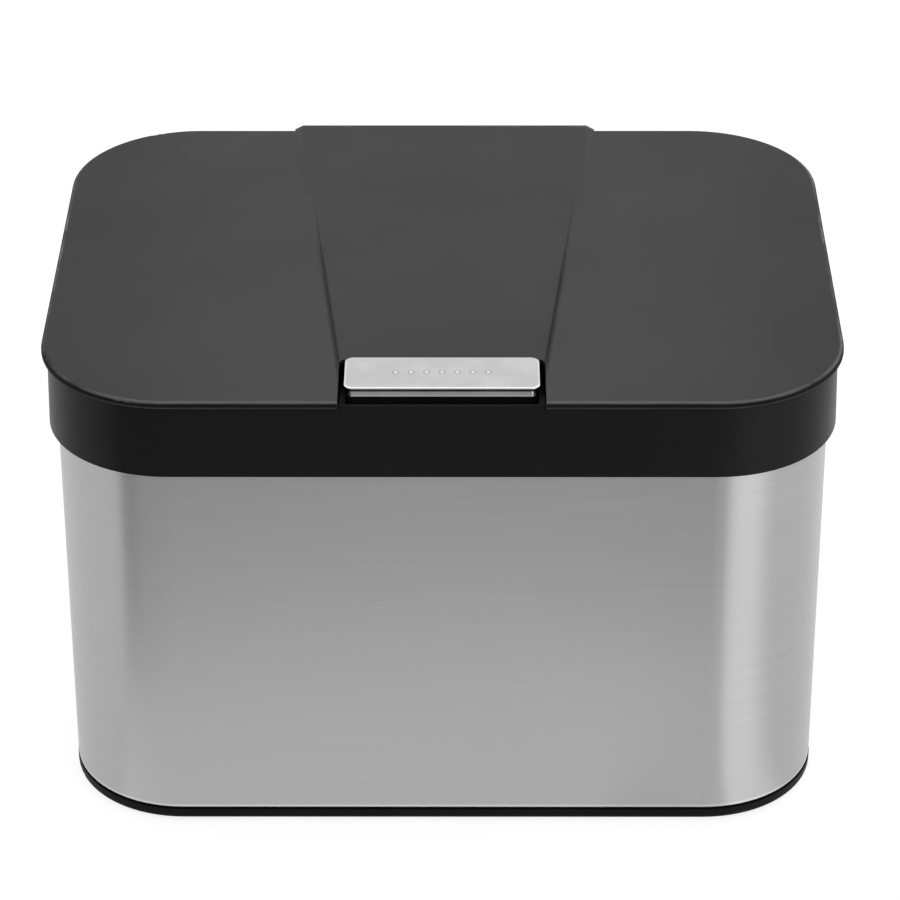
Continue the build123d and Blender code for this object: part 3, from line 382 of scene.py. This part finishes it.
def lid_finish():
    """The lid's black: fine grain; hand polish in patches by the top edge; painted highlights on
    the front rim and lower edge; painted shade on the side between them, in the creases and
    towards the left and right ends; the front painted lighter on the wings and darker on the sunk
    panel;
    and fingerprints' worth of uneven gloss."""
    material, tree, sockets, point = new_finish("lid black", Specular_IOR_Level=0.24)
    skin = effect(tree, grain, {"Point": point, "Scale": 2300.0})
    place = axes(tree, point)
    inset = effect(tree, plan_inset, {"Point": point})["Inset"]
    # painted shade: the lid's outer side is coloured near black, and also made matt
    side = fade(tree, inset, 0.2 * MM, 0.8 * MM)

    # hand polish in patches beside the top edge, its colour raised into a painted highlight
    brow = maths(tree, "SUBTRACT", inset, 0.9 * MM)
    patches = {"Point": point, "Distance": brow, "Band": 0.7 * MM, "Patch": 45.0}
    worn_and_highlight = effect(tree, edge_wear_and_highlight, patches)["Mask"]
    # painted highlight along the front rim only, where its rounded edge would catch the light
    rim = band(tree, brow, 0.25 * MM, 0.7 * MM)
    rim = product(tree, rim, fade(tree, place["Y"], -0.097, -0.088))

    # painted highlight along the lid's lower edge: bright patches, and a fainter band above them
    above = maths(tree, "SUBTRACT", place["Z"], LID_LIP)
    patches = {"Point": point, "Distance": above, "Band": 0.5 * MM, "Patch": 30.0}
    lip_highlight = product(tree, effect(tree, edge_wear_and_highlight, patches)["Mask"], side)
    hem = product(tree, fade(tree, above, 0.1 * MM, 0.7 * MM), side)

    settled = effect(tree, settled_dust, {"Point": point, "Amount": 0.05})["Mask"]
    scratches = effect(tree, hair_scratches, {"Point": point, "Density": 0.3})["Mask"]
    # painted shade in the creases, and the sunk panel's mask
    fold_shade, wedge = crease_shade(tree, place)
    # painted shade: the lid is coloured darker towards its left and right ends
    half_width = node_box("lid_shell")[1][0]
    middle = maths(tree, "SUBTRACT", half_width, maths(tree, "ABSOLUTE", place["X"]))
    body = layered(
        tree, grey(0.0165),
        (skin["Mottle"], grey(0.0205)),
        # painted light and shade at the front, fading out towards the back: the wings lighter, the
        # sunk panel darker
        (fade(tree, place["Y"], -0.085, 0.01), mix_colour(tree, wedge, grey(0.026), grey(0.011))),
        # painted shade towards the left and right ends
        (fade(tree, middle, 0.0, 0.07), grey(0.0035)),
        # painted shade on the outer side and in the creases
        (maths(tree, "MAXIMUM", side, fold_shade), grey(0.0015)),
        # painted highlight on the front rim
        (rim, grey(0.118)),
        # hand polish, coloured bright as a painted highlight
        (worn_and_highlight, grey(0.125)),
        # fainter painted highlight along the lower edge
        (hem, grey(0.034)),
        # painted highlight in patches along the lower edge
        (lip_highlight, grey(0.055)),
        (scratches, grey(0.03)),
        (settled, grey(0.25, DUST_TINT)),
    )
    shine = spread(tree, noise(tree, point, 28.0, 4.0, 0.6), 0.40, 0.46)
    for mask, amount in ((worn_and_highlight, -0.12), (fold_shade, 0.36), (side, 0.45)):
        shine = added(tree, shine, mask, amount)
    dress(tree, sockets, body, shine, skin["Height"], 12 * MICRON)
    return material


def brushed_wall_finish():
    """Level-brushed steel: highlights spread up and down, streaks in colour, gloss and relief,
    and a painted highlight along the lower hem."""
    material, tree, sockets, point = new_finish(
        "brushed steel", Metallic=1.0, Anisotropic=0.8, Anisotropic_Rotation=0.25
    )
    lines = effect(tree, brush_lines, {"Point": point, "Fineness": 1.0})
    cloud = noise(tree, stretched(tree, point, 9.0, 9.0, 30.0), 1.0, 4.0, 0.6)
    hem_height = node_box("steel_sleeve")[0][2] + 1.0 * MM
    hem = maths(tree, "SUBTRACT", axes(tree, point)["Z"], hem_height)
    body = layered(
        tree, grey(0.41),
        (lines["Streak"], grey(0.48)),
        (spread(tree, cloud, 0.0, 0.5), grey(0.435)),
        # painted highlight along the bend at the sleeve's foot
        (band(tree, hem, 0.3 * MM, 0.7 * MM), grey(0.60)),
    )
    shine = remap(tree, lines["Streak"], 0.0, 1.0, 0.29, 0.37)
    dress(tree, sockets, body, shine, lines["Height"], 6 * MICRON)
    around = add_node(tree, "Tangent", direction_type="RADIAL", axis="Z")
    tree.links.new(around.outputs[0], sockets["Tangent"])
    return material


def plated_finish():
    """Satin bright plating over a moulded cap: a painted highlight along the edge, pips drawn
    in colour only with a painted highlight on each top and painted shade round it, faint
    scratches and slightly uneven polish."""
    material, tree, sockets, point = new_finish("bright plating", Metallic=1.0)
    scratches = effect(tree, hair_scratches, {"Point": point, "Density": 0.5})["Mask"]
    cloud = noise(tree, point, 90.0, 4.0, 0.6)
    low, high = node_box("button_cap")
    about = vector_maths(tree, "SUBTRACT", {0: point, 1: tuple((low + high) / 2)})
    half = (high - low) / 2
    plan = {"Point": about, "Half Width": half[0], "Half Depth": half[1], "Corner": 3.0 * MM}
    # painted highlight along the cap's top edge
    edge = fade(tree, effect(tree, plan_inset, plan)["Inset"], 0.45 * MM, 0.9 * MM)

    place = axes(tree, about)
    # pips in colour only: a painted highlight on each top and painted shade round it
    step = maths(tree, "FRACT", maths(tree, "MULTIPLY_ADD", place["X"], 1 / PIP_PITCH, 50.5))
    beside = product(tree, maths(tree, "SUBTRACT", step, 0.5), PIP_PITCH)
    beside = add_node(tree, "CombineXYZ", {"X": beside, "Y": place["Y"]}).outputs[0]
    beside = vector_maths(tree, "LENGTH", {0: beside}, "Value")
    row = band(tree, place["X"], PIPS_HALF - 0.1 * PIP_PITCH, PIPS_HALF)
    pip_shade = band(tree, maths(tree, "SUBTRACT", beside, 0.95 * MM), 0.1 * MM, 0.35 * MM)
    pip_highlight = fade(tree, beside, 0.5 * MM, 0.65 * MM)
    body = layered(
        tree, grey(0.53),
        (spread(tree, cloud), grey(0.57)),
        # painted highlight along the edge
        (edge, grey(0.72)),
        # painted shade round each pip
        (product(tree, row, pip_shade), grey(0.36)),
        # painted highlight on each pip
        (product(tree, row, pip_highlight), grey(0.82)),
        (scratches, grey(0.75)),
    )
    shine = added(tree, spread(tree, cloud, 0.16, 0.22), scratches, 0.2)
    dress(tree, sockets, body, shine, noise(tree, point, 700.0), 6 * MICRON)
    return material


def fastener_finish():
    """Zinc-plated steel: a soft blue-yellow cast and tumbling marks."""
    material, tree, sockets, point = new_finish("zinc plate", Metallic=1.0)
    cast = spread(tree, noise(tree, point, 260.0, 3.0, 0.6))
    marks = noise(tree, point, 2400.0, 2.0, 0.6)
    body = layered(
        tree, (0.52, 0.53, 0.55, 1.0),
        (cast, (0.62, 0.60, 0.55, 1.0)),
        (remap(tree, marks, 0.55, 0.7, 0.0, 0.5), grey(0.36)),
    )
    dress(tree, sockets, body, spread(tree, marks, 0.28, 0.42), marks, 10 * MICRON)
    return material


def wire_finish():
    """Drawn spring wire: fine lines along the wire from its own lengthwise map."""
    material, tree, sockets, point = new_finish("spring wire", Metallic=1.0)
    along = add_node(tree, "UVMap", uv_map="wire").outputs[0]
    drawn = noise(tree, stretched(tree, along, 40.0, 6.0, 1.0), 1.0, 3.0, 0.6)
    share = remap(tree, drawn, 0.35, 0.65)
    body = mix_colour(tree, share, (0.40, 0.40, 0.41, 1.0), grey(0.58))
    shine = spread(tree, noise(tree, point, 900.0), 0.24, 0.36)
    dress(tree, sockets, body, shine, drawn, 8 * MICRON)
    return material


def rubber_finish():
    """Matt rubber: powdery bloom and a coarse skin."""
    material, tree, sockets, point = new_finish("foot rubber", Specular_IOR_Level=0.35)
    bloom = remap(tree, noise(tree, point, 160.0, 5.0, 0.65), 0.35, 0.7)
    skin = noise(tree, point, 1800.0)
    body = mix_colour(tree, bloom, grey(0.018), grey(0.034, (1.0, 0.99, 0.97)))
    dress(tree, sockets, body, spread(tree, skin, 0.78, 0.92), skin, 30 * MICRON)
    return material


def acetal_finish():
    """Natural acetal: milky, smooth, a little translucent."""
    material, tree, sockets, point = new_finish(
        "natural acetal", Specular_IOR_Level=0.5, Subsurface_Weight=0.2, Subsurface_Scale=2 * MM
    )
    cloud = noise(tree, point, 220.0, 3.0)
    share = spread(tree, cloud)
    body = mix_colour(tree, share, (0.74, 0.73, 0.69, 1.0), (0.80, 0.79, 0.76, 1.0))
    shine = spread(tree, cloud, 0.30, 0.38)
    dress(tree, sockets, body, shine, noise(tree, point, 1500.0), 8 * MICRON)
    return material


def spring_steel_finish():
    """Flat spring steel: blued a little, rolled along its length."""
    material, tree, sockets, point = new_finish("strip steel", Metallic=1.0)
    rolled = noise(tree, stretched(tree, point, 2500.0, 120.0, 2500.0), 1.0, 2.0, 0.6)
    share = remap(tree, rolled, 0.35, 0.65)
    body = mix_colour(tree, share, (0.34, 0.35, 0.38, 1.0), (0.50, 0.50, 0.51, 1.0))
    dress(tree, sockets, body, spread(tree, rolled, 0.22, 0.34), rolled, 6 * MICRON)
    return material


# ---- surfaces worked out on a grid ----
def grid_faces(grids):
    """Corner numbers of every grid's faces; each row closes on itself."""
    quads, start = [], 0
    for points in grids:
        rows, cols = points.shape[:2]
        index = start + np.arange(rows * cols).reshape(rows, cols)
        beside = np.roll(index, -1, axis=1)
        face = [index[:-1], beside[:-1], beside[1:], index[1:]]
        quads.append(np.stack(face, axis=-1).reshape(-1, 4))
        start += rows * cols
    return np.concatenate(quads)


def wire_map(cols, along):
    """Flat map of one grid: u runs 0 to 1 round each row and v is the length along, at every
    face's corners."""
    across = np.linspace(0, 1, cols + 1)
    u0, v0 = np.meshgrid(across[:-1], along, indexing="xy")
    u1, v1 = np.meshgrid(across[1:], along, indexing="xy")
    corners = [(u0[:-1], v0[:-1]), (u1[:-1], v1[:-1]), (u1[1:], v1[1:]), (u0[1:], v0[1:])]
    return np.stack([np.stack(corner, axis=-1) for corner in corners], axis=-2).reshape(-1, 2)


def surface_piece(name, grids, body, finish, along=None, sharp=40):
    """Mesh object from grids of points whose rows close on themselves and whose end rows are
    poles. Edges over sharp degrees stay sharp; a wire's length along gives it a map."""
    mesh = bpy.data.meshes.new(name)
    places = np.concatenate([points.reshape(-1, 3) for points in grids])
    mesh.from_pydata(places, [], grid_faces(grids))
    if along is not None:
        layer = mesh.uv_layers.new(name="wire")
        flat = wire_map(grids[0].shape[1], along)
        layer.data.foreach_set("uv", flat.astype(np.float32).ravel())
    seal = bmesh.new()
    seal.from_mesh(mesh)
    bmesh.ops.remove_doubles(seal, verts=seal.verts, dist=SEAM)
    bmesh.ops.dissolve_degenerate(seal, edges=seal.edges, dist=SEAM)
    bmesh.ops.recalc_face_normals(seal, faces=seal.faces)
    seal.to_mesh(mesh)
    seal.free()
    mesh.shade_smooth()
    mesh.set_sharp_from_angle(angle=math.radians(sharp))
    mesh.materials.append(finish)
    made = bpy.data.objects.new(name, mesh)
    bpy.context.scene.collection.objects.link(made)
    if body is not None:
        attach(made, body)
    return made


# ---- springs ----
def unit(vectors):
    return vectors / np.linalg.norm(vectors, axis=-1, keepdims=True)


def wire_grid(path, outward, radius, sides=14):
    """Round wire along a path: at each point, radius times the cosine of the way round along
    the outward direction squared off the path, plus the sine along their cross product; both
    ends close to a point."""
    along = unit(np.gradient(path, axis=0))
    side = unit(outward - along * np.sum(outward * along, axis=1, keepdims=True))
    over = np.cross(along, side)
    angle = (np.arange(sides) * TURN / sides)[None, :, None]
    tube = path[:, None] + radius * (side[:, None] * np.cos(angle) + over[:, None] * np.sin(angle))
    ends = [np.repeat(path[i][None, None], sides, axis=1) for i in (0, -1)]
    return np.concatenate([ends[0], tube, ends[1]])


def wire_length(path):
    """Distance along a path at each grid row, in centimetres, with its first and last value
    repeated for the closed ends."""
    steps = np.linalg.norm(np.diff(path, axis=0), axis=1)
    gone = np.concatenate([[0.0], np.cumsum(steps)])
    return np.concatenate([gone[:1], gone, gone[-1:]]) * 100


def wire_piece(name, node, path, outward, radius, body=None):
    """A spring's wire, which stands for its CAD node."""
    piece = surface_piece(
        name, [wire_grid(path, outward, radius)], body, finishes["wire"],
        along=wire_length(path),
    )
    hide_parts(node)
    return piece


def hinge_spring(side, station):
    """Torsion spring: x grows evenly with the angle t while y is R sin t and z is -R cos t
    about the pin, and each end runs on straight along the coil's own direction. It winds
    between body and lid."""
    node = "hinge_spring_" + side
    low, high = node_box(node)
    axis = joint_place("lid_hinge")
    wire, coil = 0.45 * MM, 2.35 * MM
    low_leg, top_leg, lead = 4.0 * MM, 7.0 * MM, 0.15 * MM
    low_points, coil_points, top_points = 10, 230, 16
    half = (high[0] - low[0]) / 2 - wire * 1.05  # keeps the end turns inside the node's box
    centre = np.array([station, axis[1], axis[2]])
    wound = 5.5 - 16.7 / 360  # turns, so that the legs point down and at the lid
    last = TURN * wound
    t = np.linspace(0, last, coil_points)
    still = np.zeros_like(t)
    outward = np.stack([still, np.sin(t), -np.cos(t)], axis=1)
    heading = np.stack([still, np.cos(t), np.sin(t)], axis=1)
    turns = coil * outward
    turns[:, 0] = np.interp(t, [0, last], [-half, half])
    below = turns[0] - heading[0] * np.linspace(low_leg, lead, low_points)[:, None]
    above = turns[-1] + heading[-1] * np.linspace(lead, top_leg, top_points)[:, None]
    facing = np.repeat(outward, [low_points + 1] + [1] * (coil_points - 2) + [top_points + 1], 0)
    path = centre + np.concatenate([below, turns, above])
    piece = wire_piece("hinge_coil_" + side, node, path, facing, wire)
    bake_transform(piece)


def closed_coil(turns, radius, wire, height, steps=36):
    """Compression spring standing on z = 0: the angle runs evenly, the height by a pitch that
    is one wire at each end turn and opens smoothly between them. Returns its path and outward
    directions."""
    closed, opens = 0.6, 0.7  # turns that lie closed, and turns over which the pitch opens
    t = np.linspace(0, turns, int(turns * steps))
    opening = np.clip((t - closed) / opens, 0, 1) * np.clip((turns - closed - t) / opens, 0, 1)
    opening = opening * opening * (3 - 2 * opening)
    opened = np.concatenate([[0.0], np.cumsum((opening[1:] + opening[:-1]) / 2 * np.diff(t))])
    tight = 2.02 * wire
    climb = tight * t + (height - 2 * wire - tight * turns) * opened / opened[-1]
    outward = np.stack([np.cos(TURN * t), np.sin(TURN * t), np.zeros_like(t)], axis=1)
    path = outward * radius
    path[:, 2] = wire + climb
    return path, outward


def button_spring(side):
    """Return spring under the button, between the well's floor and the carrier."""
    node = "button_spring_" + side
    low, high = node_box(node)
    foot = np.array([(low[0] + high[0]) / 2, (low[1] + high[1]) / 2, low[2]])
    tall = high[2] - low[2]
    wire = 0.4 * MM
    path, outward = closed_coil(6.0, 3.0 * MM, wire, tall)
    piece = wire_piece("button_coil_" + side, node, foot + path, outward, wire)
    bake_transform(piece)


def latch_coil():
    """Small spring that pushes the slider back, lying along Y, at its rest length."""
    low, high = node_box("latch_spring")
    start = np.array([(low[0] + high[0]) / 2, low[1], (low[2] + high[2]) / 2])
    length = high[1] - low[1]
    wire, squeeze = 0.3 * MM, 3.05 * MM
    lie_down = [0, 2, 1]
    path, outward = closed_coil(4.0, 1.6 * MM, wire, length)
    path, outward = start + path[:, lie_down], outward[:, lie_down]
    piece = wire_piece("latch_coil", "latch_spring", path, outward, wire, "body")
    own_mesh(piece)


# ---- screws ----
def screw_grid(shank, head, tall, length, pitch):
    """Pan-head screw along +Z, its head below z = 0, as a profile carried round the axis.
    The head's face is a flattened dome less a cross: the depth of the cross fades with the
    smaller of |x| and |y|. The shank's radius follows a triangle wave of height minus turn,
    which is its thread, and tapers to a point."""
    sides, rows = 60, 96
    dome, rim_drop = 0.34, 0.3  # of the head's height
    cross_depth, cross_half, cross_reach = 0.62, 0.17, 0.6  # of its height, radius and radius
    core, thread = 0.82, 0.22  # of the shank's radius
    point, runout = 0.12, 0.15  # of the shank's length
    around = np.arange(sides) * TURN / sides
    round_x, round_y = np.cos(around), np.sin(around)

    out = np.concatenate([np.linspace(0, 0.62, 16), np.linspace(0.68, 1.0, 8)])[:, None]
    x, y = out * round_x, out * round_y
    arm = np.clip((cross_half - np.minimum(np.abs(x), np.abs(y))) / 0.05, 0, 1)
    inside = np.clip((cross_reach - out) / 0.06, 0, 1)
    drop = -1 + dome * out ** 4 + cross_depth * arm * inside
    face = np.stack([head * x, head * y, tall * drop], axis=-1)

    z = np.linspace(0, length, rows)[:, None]
    left = (length - z) / length
    taper = core * np.clip(left / point, 0, 1) ** 0.7
    wave = np.abs(((z / pitch - around / TURN) % 1.0) * 2 - 1)
    height = np.clip(z / (0.8 * pitch), 0, 1) * np.clip(left / runout, 0, 1) ** 0.6
    radius = shank * (taper + thread * height * np.clip(wave * 1.6 - 0.5, 0, 1))
    level = np.repeat(z, sides, 1)
    body = np.stack([radius * round_x, radius * round_y, level], axis=-1)

    edge = np.array([head, head * 0.985])[:, None]
    level = np.repeat([[-rim_drop * tall], [0.0]], sides, 1)
    rim = np.stack([edge * round_x, edge * round_y, level], axis=-1)
    tip = np.repeat(np.array([[[0.0, 0.0, length]]]), sides, axis=1)
    return np.concatenate([face, rim, body, tip])


def solid_boxes(node, count):
    """Lowest and highest corner of each of a node's separate solids: its points are sorted
    into the count nearest groups."""
    mesh = frame["nodes"][node].data
    places = np.zeros(len(mesh.vertices) * 3, np.float32)
    mesh.vertices.foreach_get("co", places)
    places = places.reshape(-1, 3).astype(float)
    found = [places[0]]
    for _ in range(count - 1):
        gap = np.min([np.linalg.norm(places - place, axis=1) for place in found], axis=0)
        found.append(places[np.argmax(gap)])
    nearest = np.argmin([np.linalg.norm(places - place, axis=1) for place in found], axis=0)
    groups = [places[nearest == index] for index in range(count)]
    return [(points.min(axis=0), points.max(axis=0)) for points in groups]


def screw_set(name, node, body, count, sizes, axis=2):
    """All screws of one CAD node in a single piece. Each solid's box gives the axis line, the
    seat and the length; sizes are shank and head radius, head height and pitch in mm."""
    shank, head, tall, pitch = np.array(sizes) * MM
    places = []
    for low, high in solid_boxes(node, count):
        place = (low + high) / 2
        place[axis] = low[axis] + tall
        places.append(place)
    length = high[axis] - low[axis] - tall
    grid = screw_grid(shank, head, tall, length, pitch)
    if axis == 0:
        grid = grid[..., [2, 1, 0]] * (1, 1, -1)
    grids = [grid + place for place in places]
    piece = surface_piece(name, grids, body, finishes["fastener"], sharp=35)
    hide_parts(node)


# ---- studio ----
def stage_sheet(name, corners, material):
    """A flat sheet of the studio, which is no part of the bin."""
    mesh = bpy.data.meshes.new(name)
    mesh.from_pydata(corners, [], [tuple(range(len(corners)))])
    mesh.materials.append(material)
    sheet = bpy.data.objects.new(name, mesh)
    bpy.context.scene.collection.objects.link(sheet)
    return sheet


def white_glow(tree, strength):
    return add_node(tree, "Emission", {"Color": WHITE, "Strength": strength}).outputs[0]


def diffuse(tree, level):
    return add_node(tree, "BsdfDiffuse", {"Color": grey(level)}).outputs[0]


def lay_floor(size=9.0, paint=0.86, lit=0.34, level=0.84):
    """Pale floor: light meets its paint, while the eye and mirrors see a white backdrop that
    is partly lit, which keeps the object's soft shadow."""
    material, tree, shown = blank_material("studio floor")
    point = object_point(tree)
    faint = spread(tree, noise(tree, point, 3.0, 3.0), 0.99, 1.0)
    mirrored = add_node(tree, "LightPath").outputs["Is Glossy Ray"]
    strength = added(tree, level, mirrored, mirrored_floor(tree, point))
    seen = tree.nodes.new("ShaderNodeAddShader")
    tree.links.new(diffuse(tree, lit), seen.inputs[0])
    tree.links.new(white_glow(tree, product(tree, faint, strength)), seen.inputs[1])
    tree.links.new(mixed_by_ray(tree, diffuse(tree, paint), seen.outputs[0]), shown)
    corners = [(-size, -size, 0), (size, -size, 0), (size, size, 0), (-size, size, 0)]
    stage_sheet("studio_floor", corners, material)


def stand_card(distance=0.9, width=1.6, foot=0.02, height=0.62, level=0.38):
    """Upright grey card in front, which only mirrors see: it gives low faces something darker
    to reflect."""
    material, tree, shown = blank_material("studio card")
    tone = spread(tree, noise(tree, object_point(tree), 4.0, 3.0), level * 0.96, level)
    tree.links.new(white_glow(tree, tone), shown)
    x, y = width / 2, -distance
    corners = [(-x, y, foot), (-x, y, height), (x, y, height), (x, y, foot)]
    card = stage_sheet("studio_card", corners, material)
    card.visible_camera = card.visible_diffuse = card.visible_shadow = False


def sector(tree, point, centre, rise, fall):
    """Mask of a sector of the floor about a centre: it rises between the first two angles and
    falls between the last two, in degrees from the front towards +X."""
    place = axes(tree, point)
    across = maths(tree, "SUBTRACT", place["X"], centre[0])
    forward = maths(tree, "SUBTRACT", centre[1], place["Y"])
    turn = maths(tree, "ARCTAN2", across, forward)
    low = remap(tree, turn, *np.radians(rise))
    return product(tree, low, fade(tree, turn, *np.radians(fall)))


def mirrored_floor(tree, point):
    """How much darker or brighter the floor looks to mirrors: a dark card beyond a near radius
    in front, deeper at its left end, a bright strip spreading from under the right front
    corner, and a slight shade beside them."""
    middle = (0.0, 0.0)
    front = sector(tree, point, middle, (-54, -50), (24, 32))
    deep = sector(tree, point, middle, (-53, -49), (-44, -37))
    strip = sector(tree, point, CORNER_CENTRE, (12, 19), (34, 64))
    far = vector_maths(tree, "LENGTH", {0: point}, "Value")
    card = product(tree, remap(tree, far, 0.215, 0.28), front)
    deep = product(tree, remap(tree, far, 0.28, 0.34), deep)
    level = -0.12
    for mask, amount in ((front, 0.12), (card, -0.52), (deep, -0.2), (strip, 0.36)):
        level = added(tree, level, mask, amount)
    return level


def mixed_by_ray(tree, others, seen):
    """One shader for rays from the camera, mirrors and glass, another for the rest."""
    ray = add_node(tree, "LightPath").outputs
    direct = maths(tree, "MAXIMUM", ray["Is Camera Ray"], ray["Is Glossy Ray"])
    share = maths(tree, "MAXIMUM", direct, ray["Is Transmission Ray"])
    return add_node(tree, "MixShader", {0: share, 1: others, 2: seen}).outputs[0]


def light_world(level):
    """White all round to the eye and to mirrors, at a level of its own as light."""
    world = bpy.data.worlds.new("studio")
    bpy.context.scene.world = world
    world.use_nodes = True
    tree = world.node_tree
    tree.nodes.clear()
    soft, white = (
        add_node(tree, "Background", {"Color": WHITE, "Strength": strength}).outputs[0]
        for strength in (level, 1.0)
    )
    shown = tree.nodes.new("ShaderNodeOutputWorld").inputs[0]
    tree.links.new(mixed_by_ray(tree, soft, white), shown)


def soft_box(name, azimuth, elevation, distance, width, height, radiance):
    """Rectangular lamp at a distance from the bin's middle and facing it; azimuth 0 is in
    front and 90 at +X."""
    middle = Vector((0.0, 0.0, 0.09))
    a, e = math.radians(azimuth), math.radians(elevation)
    back = Vector((math.sin(a) * math.cos(e), -math.cos(a) * math.cos(e), math.sin(e)))
    lamp = bpy.data.lights.new(name, "AREA")
    lamp.shape = "RECTANGLE"
    lamp.size = width
    lamp.size_y = height
    lamp.energy = radiance * math.pi * width * height
    made = bpy.data.objects.new(name, lamp)
    made.location = middle + back * distance
    made.rotation_mode = "QUATERNION"
    made.rotation_quaternion = back.to_track_quat("Z", "Y")
    made.visible_camera = False
    bpy.context.scene.collection.objects.link(made)


def about_z(angle):
    """Turn about Z, as a matrix."""
    c, s = math.cos(angle), math.sin(angle)
    return np.array([[c, -s, 0], [s, c, 0], [0, 0, 1]])


def place_camera():
    """Camera found from the bin's outline: tilt, slight turn and roll about a point 80 mm up,
    which lies at an offset from it in the camera's own axes."""
    tilt, turn, roll = 0.5327720753683295, -0.004256175778425342, -0.0018918625318199147
    offset = np.array([-0.0021689664937258213, 0.008892285354862864, 1.3259905893031178])
    focal, pixels, sensor = 3745.8085420126617, 900, 36.0  # the last in mm
    c, s = math.cos(tilt), math.sin(tilt)
    rows = about_z(roll) @ np.array([[1, 0, 0], [0, -s, -c], [0, c, -s]]) @ about_z(turn)
    centre = np.array([0, 0, 0.08]) - rows.T @ offset
    lens = bpy.data.cameras.new("studio_camera")
    lens.sensor_width = sensor
    lens.lens = focal / pixels * sensor
    camera = bpy.data.objects.new("studio_camera", lens)
    facing = np.stack([rows[0], -rows[1], -rows[2]], axis=1)
    place = Matrix.Translation(centre.tolist())
    camera.matrix_world = place @ Matrix(facing.tolist()).to_4x4()
    bpy.context.scene.collection.objects.link(camera)
    bpy.context.scene.camera = camera


# ---- the bin ----
finishes = {
    "lid": lid_finish(),
    "lid inside": moulding(
        "lid inside black", level=0.014, rough=0.42, grains=1900.0, depth=20 * MICRON, dust=0.02
    ),
    "collar": moulding(
        "collar black", level=0.0055, rough=0.36, grains=1700.0, depth=18 * MICRON,
        specular=0.14, dust=0.04, matt_from=COLLAR_LEDGE,
    ),
    "base": moulding(
        "base black", level=0.0065, rough=0.46, grains=1500.0, depth=25 * MICRON,
        specular=0.07, dust=0.03,
    ),
    "well": moulding(
        "well black", level=0.009, rough=0.45, grains=1500.0, depth=20 * MICRON,
        specular=0.3, dust=0.04,
    ),
    "bucket": moulding(
        "bucket grey", level=0.16, rough=0.42, grains=1300.0, depth=30 * MICRON,
        dust=0.08, tint=(1.0, 1.01, 1.03),
    ),
    "damper": moulding("damper black", level=0.018, rough=0.25, grains=900.0, depth=10 * MICRON),
    "steel": brushed_wall_finish(),
    "plating": plated_finish(),
    "fastener": fastener_finish(),
    "wire": wire_finish(),
    "strip": spring_steel_finish(),
    "rubber": rubber_finish(),
    "acetal": acetal_finish(),
}

painted = {
    "lid": ["lid_shell"],
    "lid inside": ["lid_inner_panel", "lid_catch"],
    "collar": ["rim_collar"],
    "base": ["base_ring", "floor_pan"],
    "well": ["button_housing", "button_carrier"],
    "bucket": ["inner_bucket"],
    "damper": ["damper_body"],
    "steel": ["steel_sleeve"],
    "plating": ["button_cap"],
    "fastener": [
        "hinge_pin_left", "hinge_pin_right",
        "base_screws", "panel_screws", "catch_screws", "damper_screws",
    ],
    "strip": ["latch_tongue"],
    "wire": [
        "hinge_spring_left", "hinge_spring_right",
        "button_spring_left", "button_spring_right", "latch_spring",
    ],
    "rubber": [
        "foot_front_left", "foot_front_right", "foot_rear_left", "foot_rear_right",
        "lid_bumpers",
    ],
    "acetal": ["damper_sector", "damper_pinion", "latch_slider"],
}
for finish, nodes in painted.items():
    for node in nodes:
        made = frame["nodes"][node]
        if not made.material_slots:
            made.data.materials.append(finishes[finish])
        for slot in made.material_slots:
            slot.material = finishes[finish]

for side, station in (("left", -HINGE_STATION), ("right", HINGE_STATION)):
    hinge_spring(side, station)
    button_spring(side)
latch_coil()
screw_set("base_pan_heads", "base_screws", "body", 6, (1.45, 3.0, 1.5, 1.1))
screw_set("panel_pan_heads", "panel_screws", "lid", 6, (1.18, 2.4, 1.0, 0.9))
screw_set("catch_pan_heads", "catch_screws", "lid", 2, (1.18, 2.0, 1.0, 0.9))
screw_set("damper_pan_heads", "damper_screws", "body", 2, (1.18, 2.0, 1.2, 0.9), axis=0)

# ---- studio set-up ----
bpy.context.scene.view_settings.view_transform = "Standard"
place_camera()
lay_floor()
stand_card()
light_world(0.52)
lamps = (  # name, azimuth, elevation, distance, width, height, radiance
    ("overhead", 180, 68, 1.1, 1.1, 1.1, 0.6),
    ("left_box", -112, 14, 0.95, 0.45, 0.75, 0.35),
    ("right_strip", 35.8, 10, 0.95, 0.45, 0.7, 1.4),
    ("right_back", 118, 14, 0.95, 0.4, 0.7, 1.2),
)
for lamp in lamps:
    soft_box(*lamp)
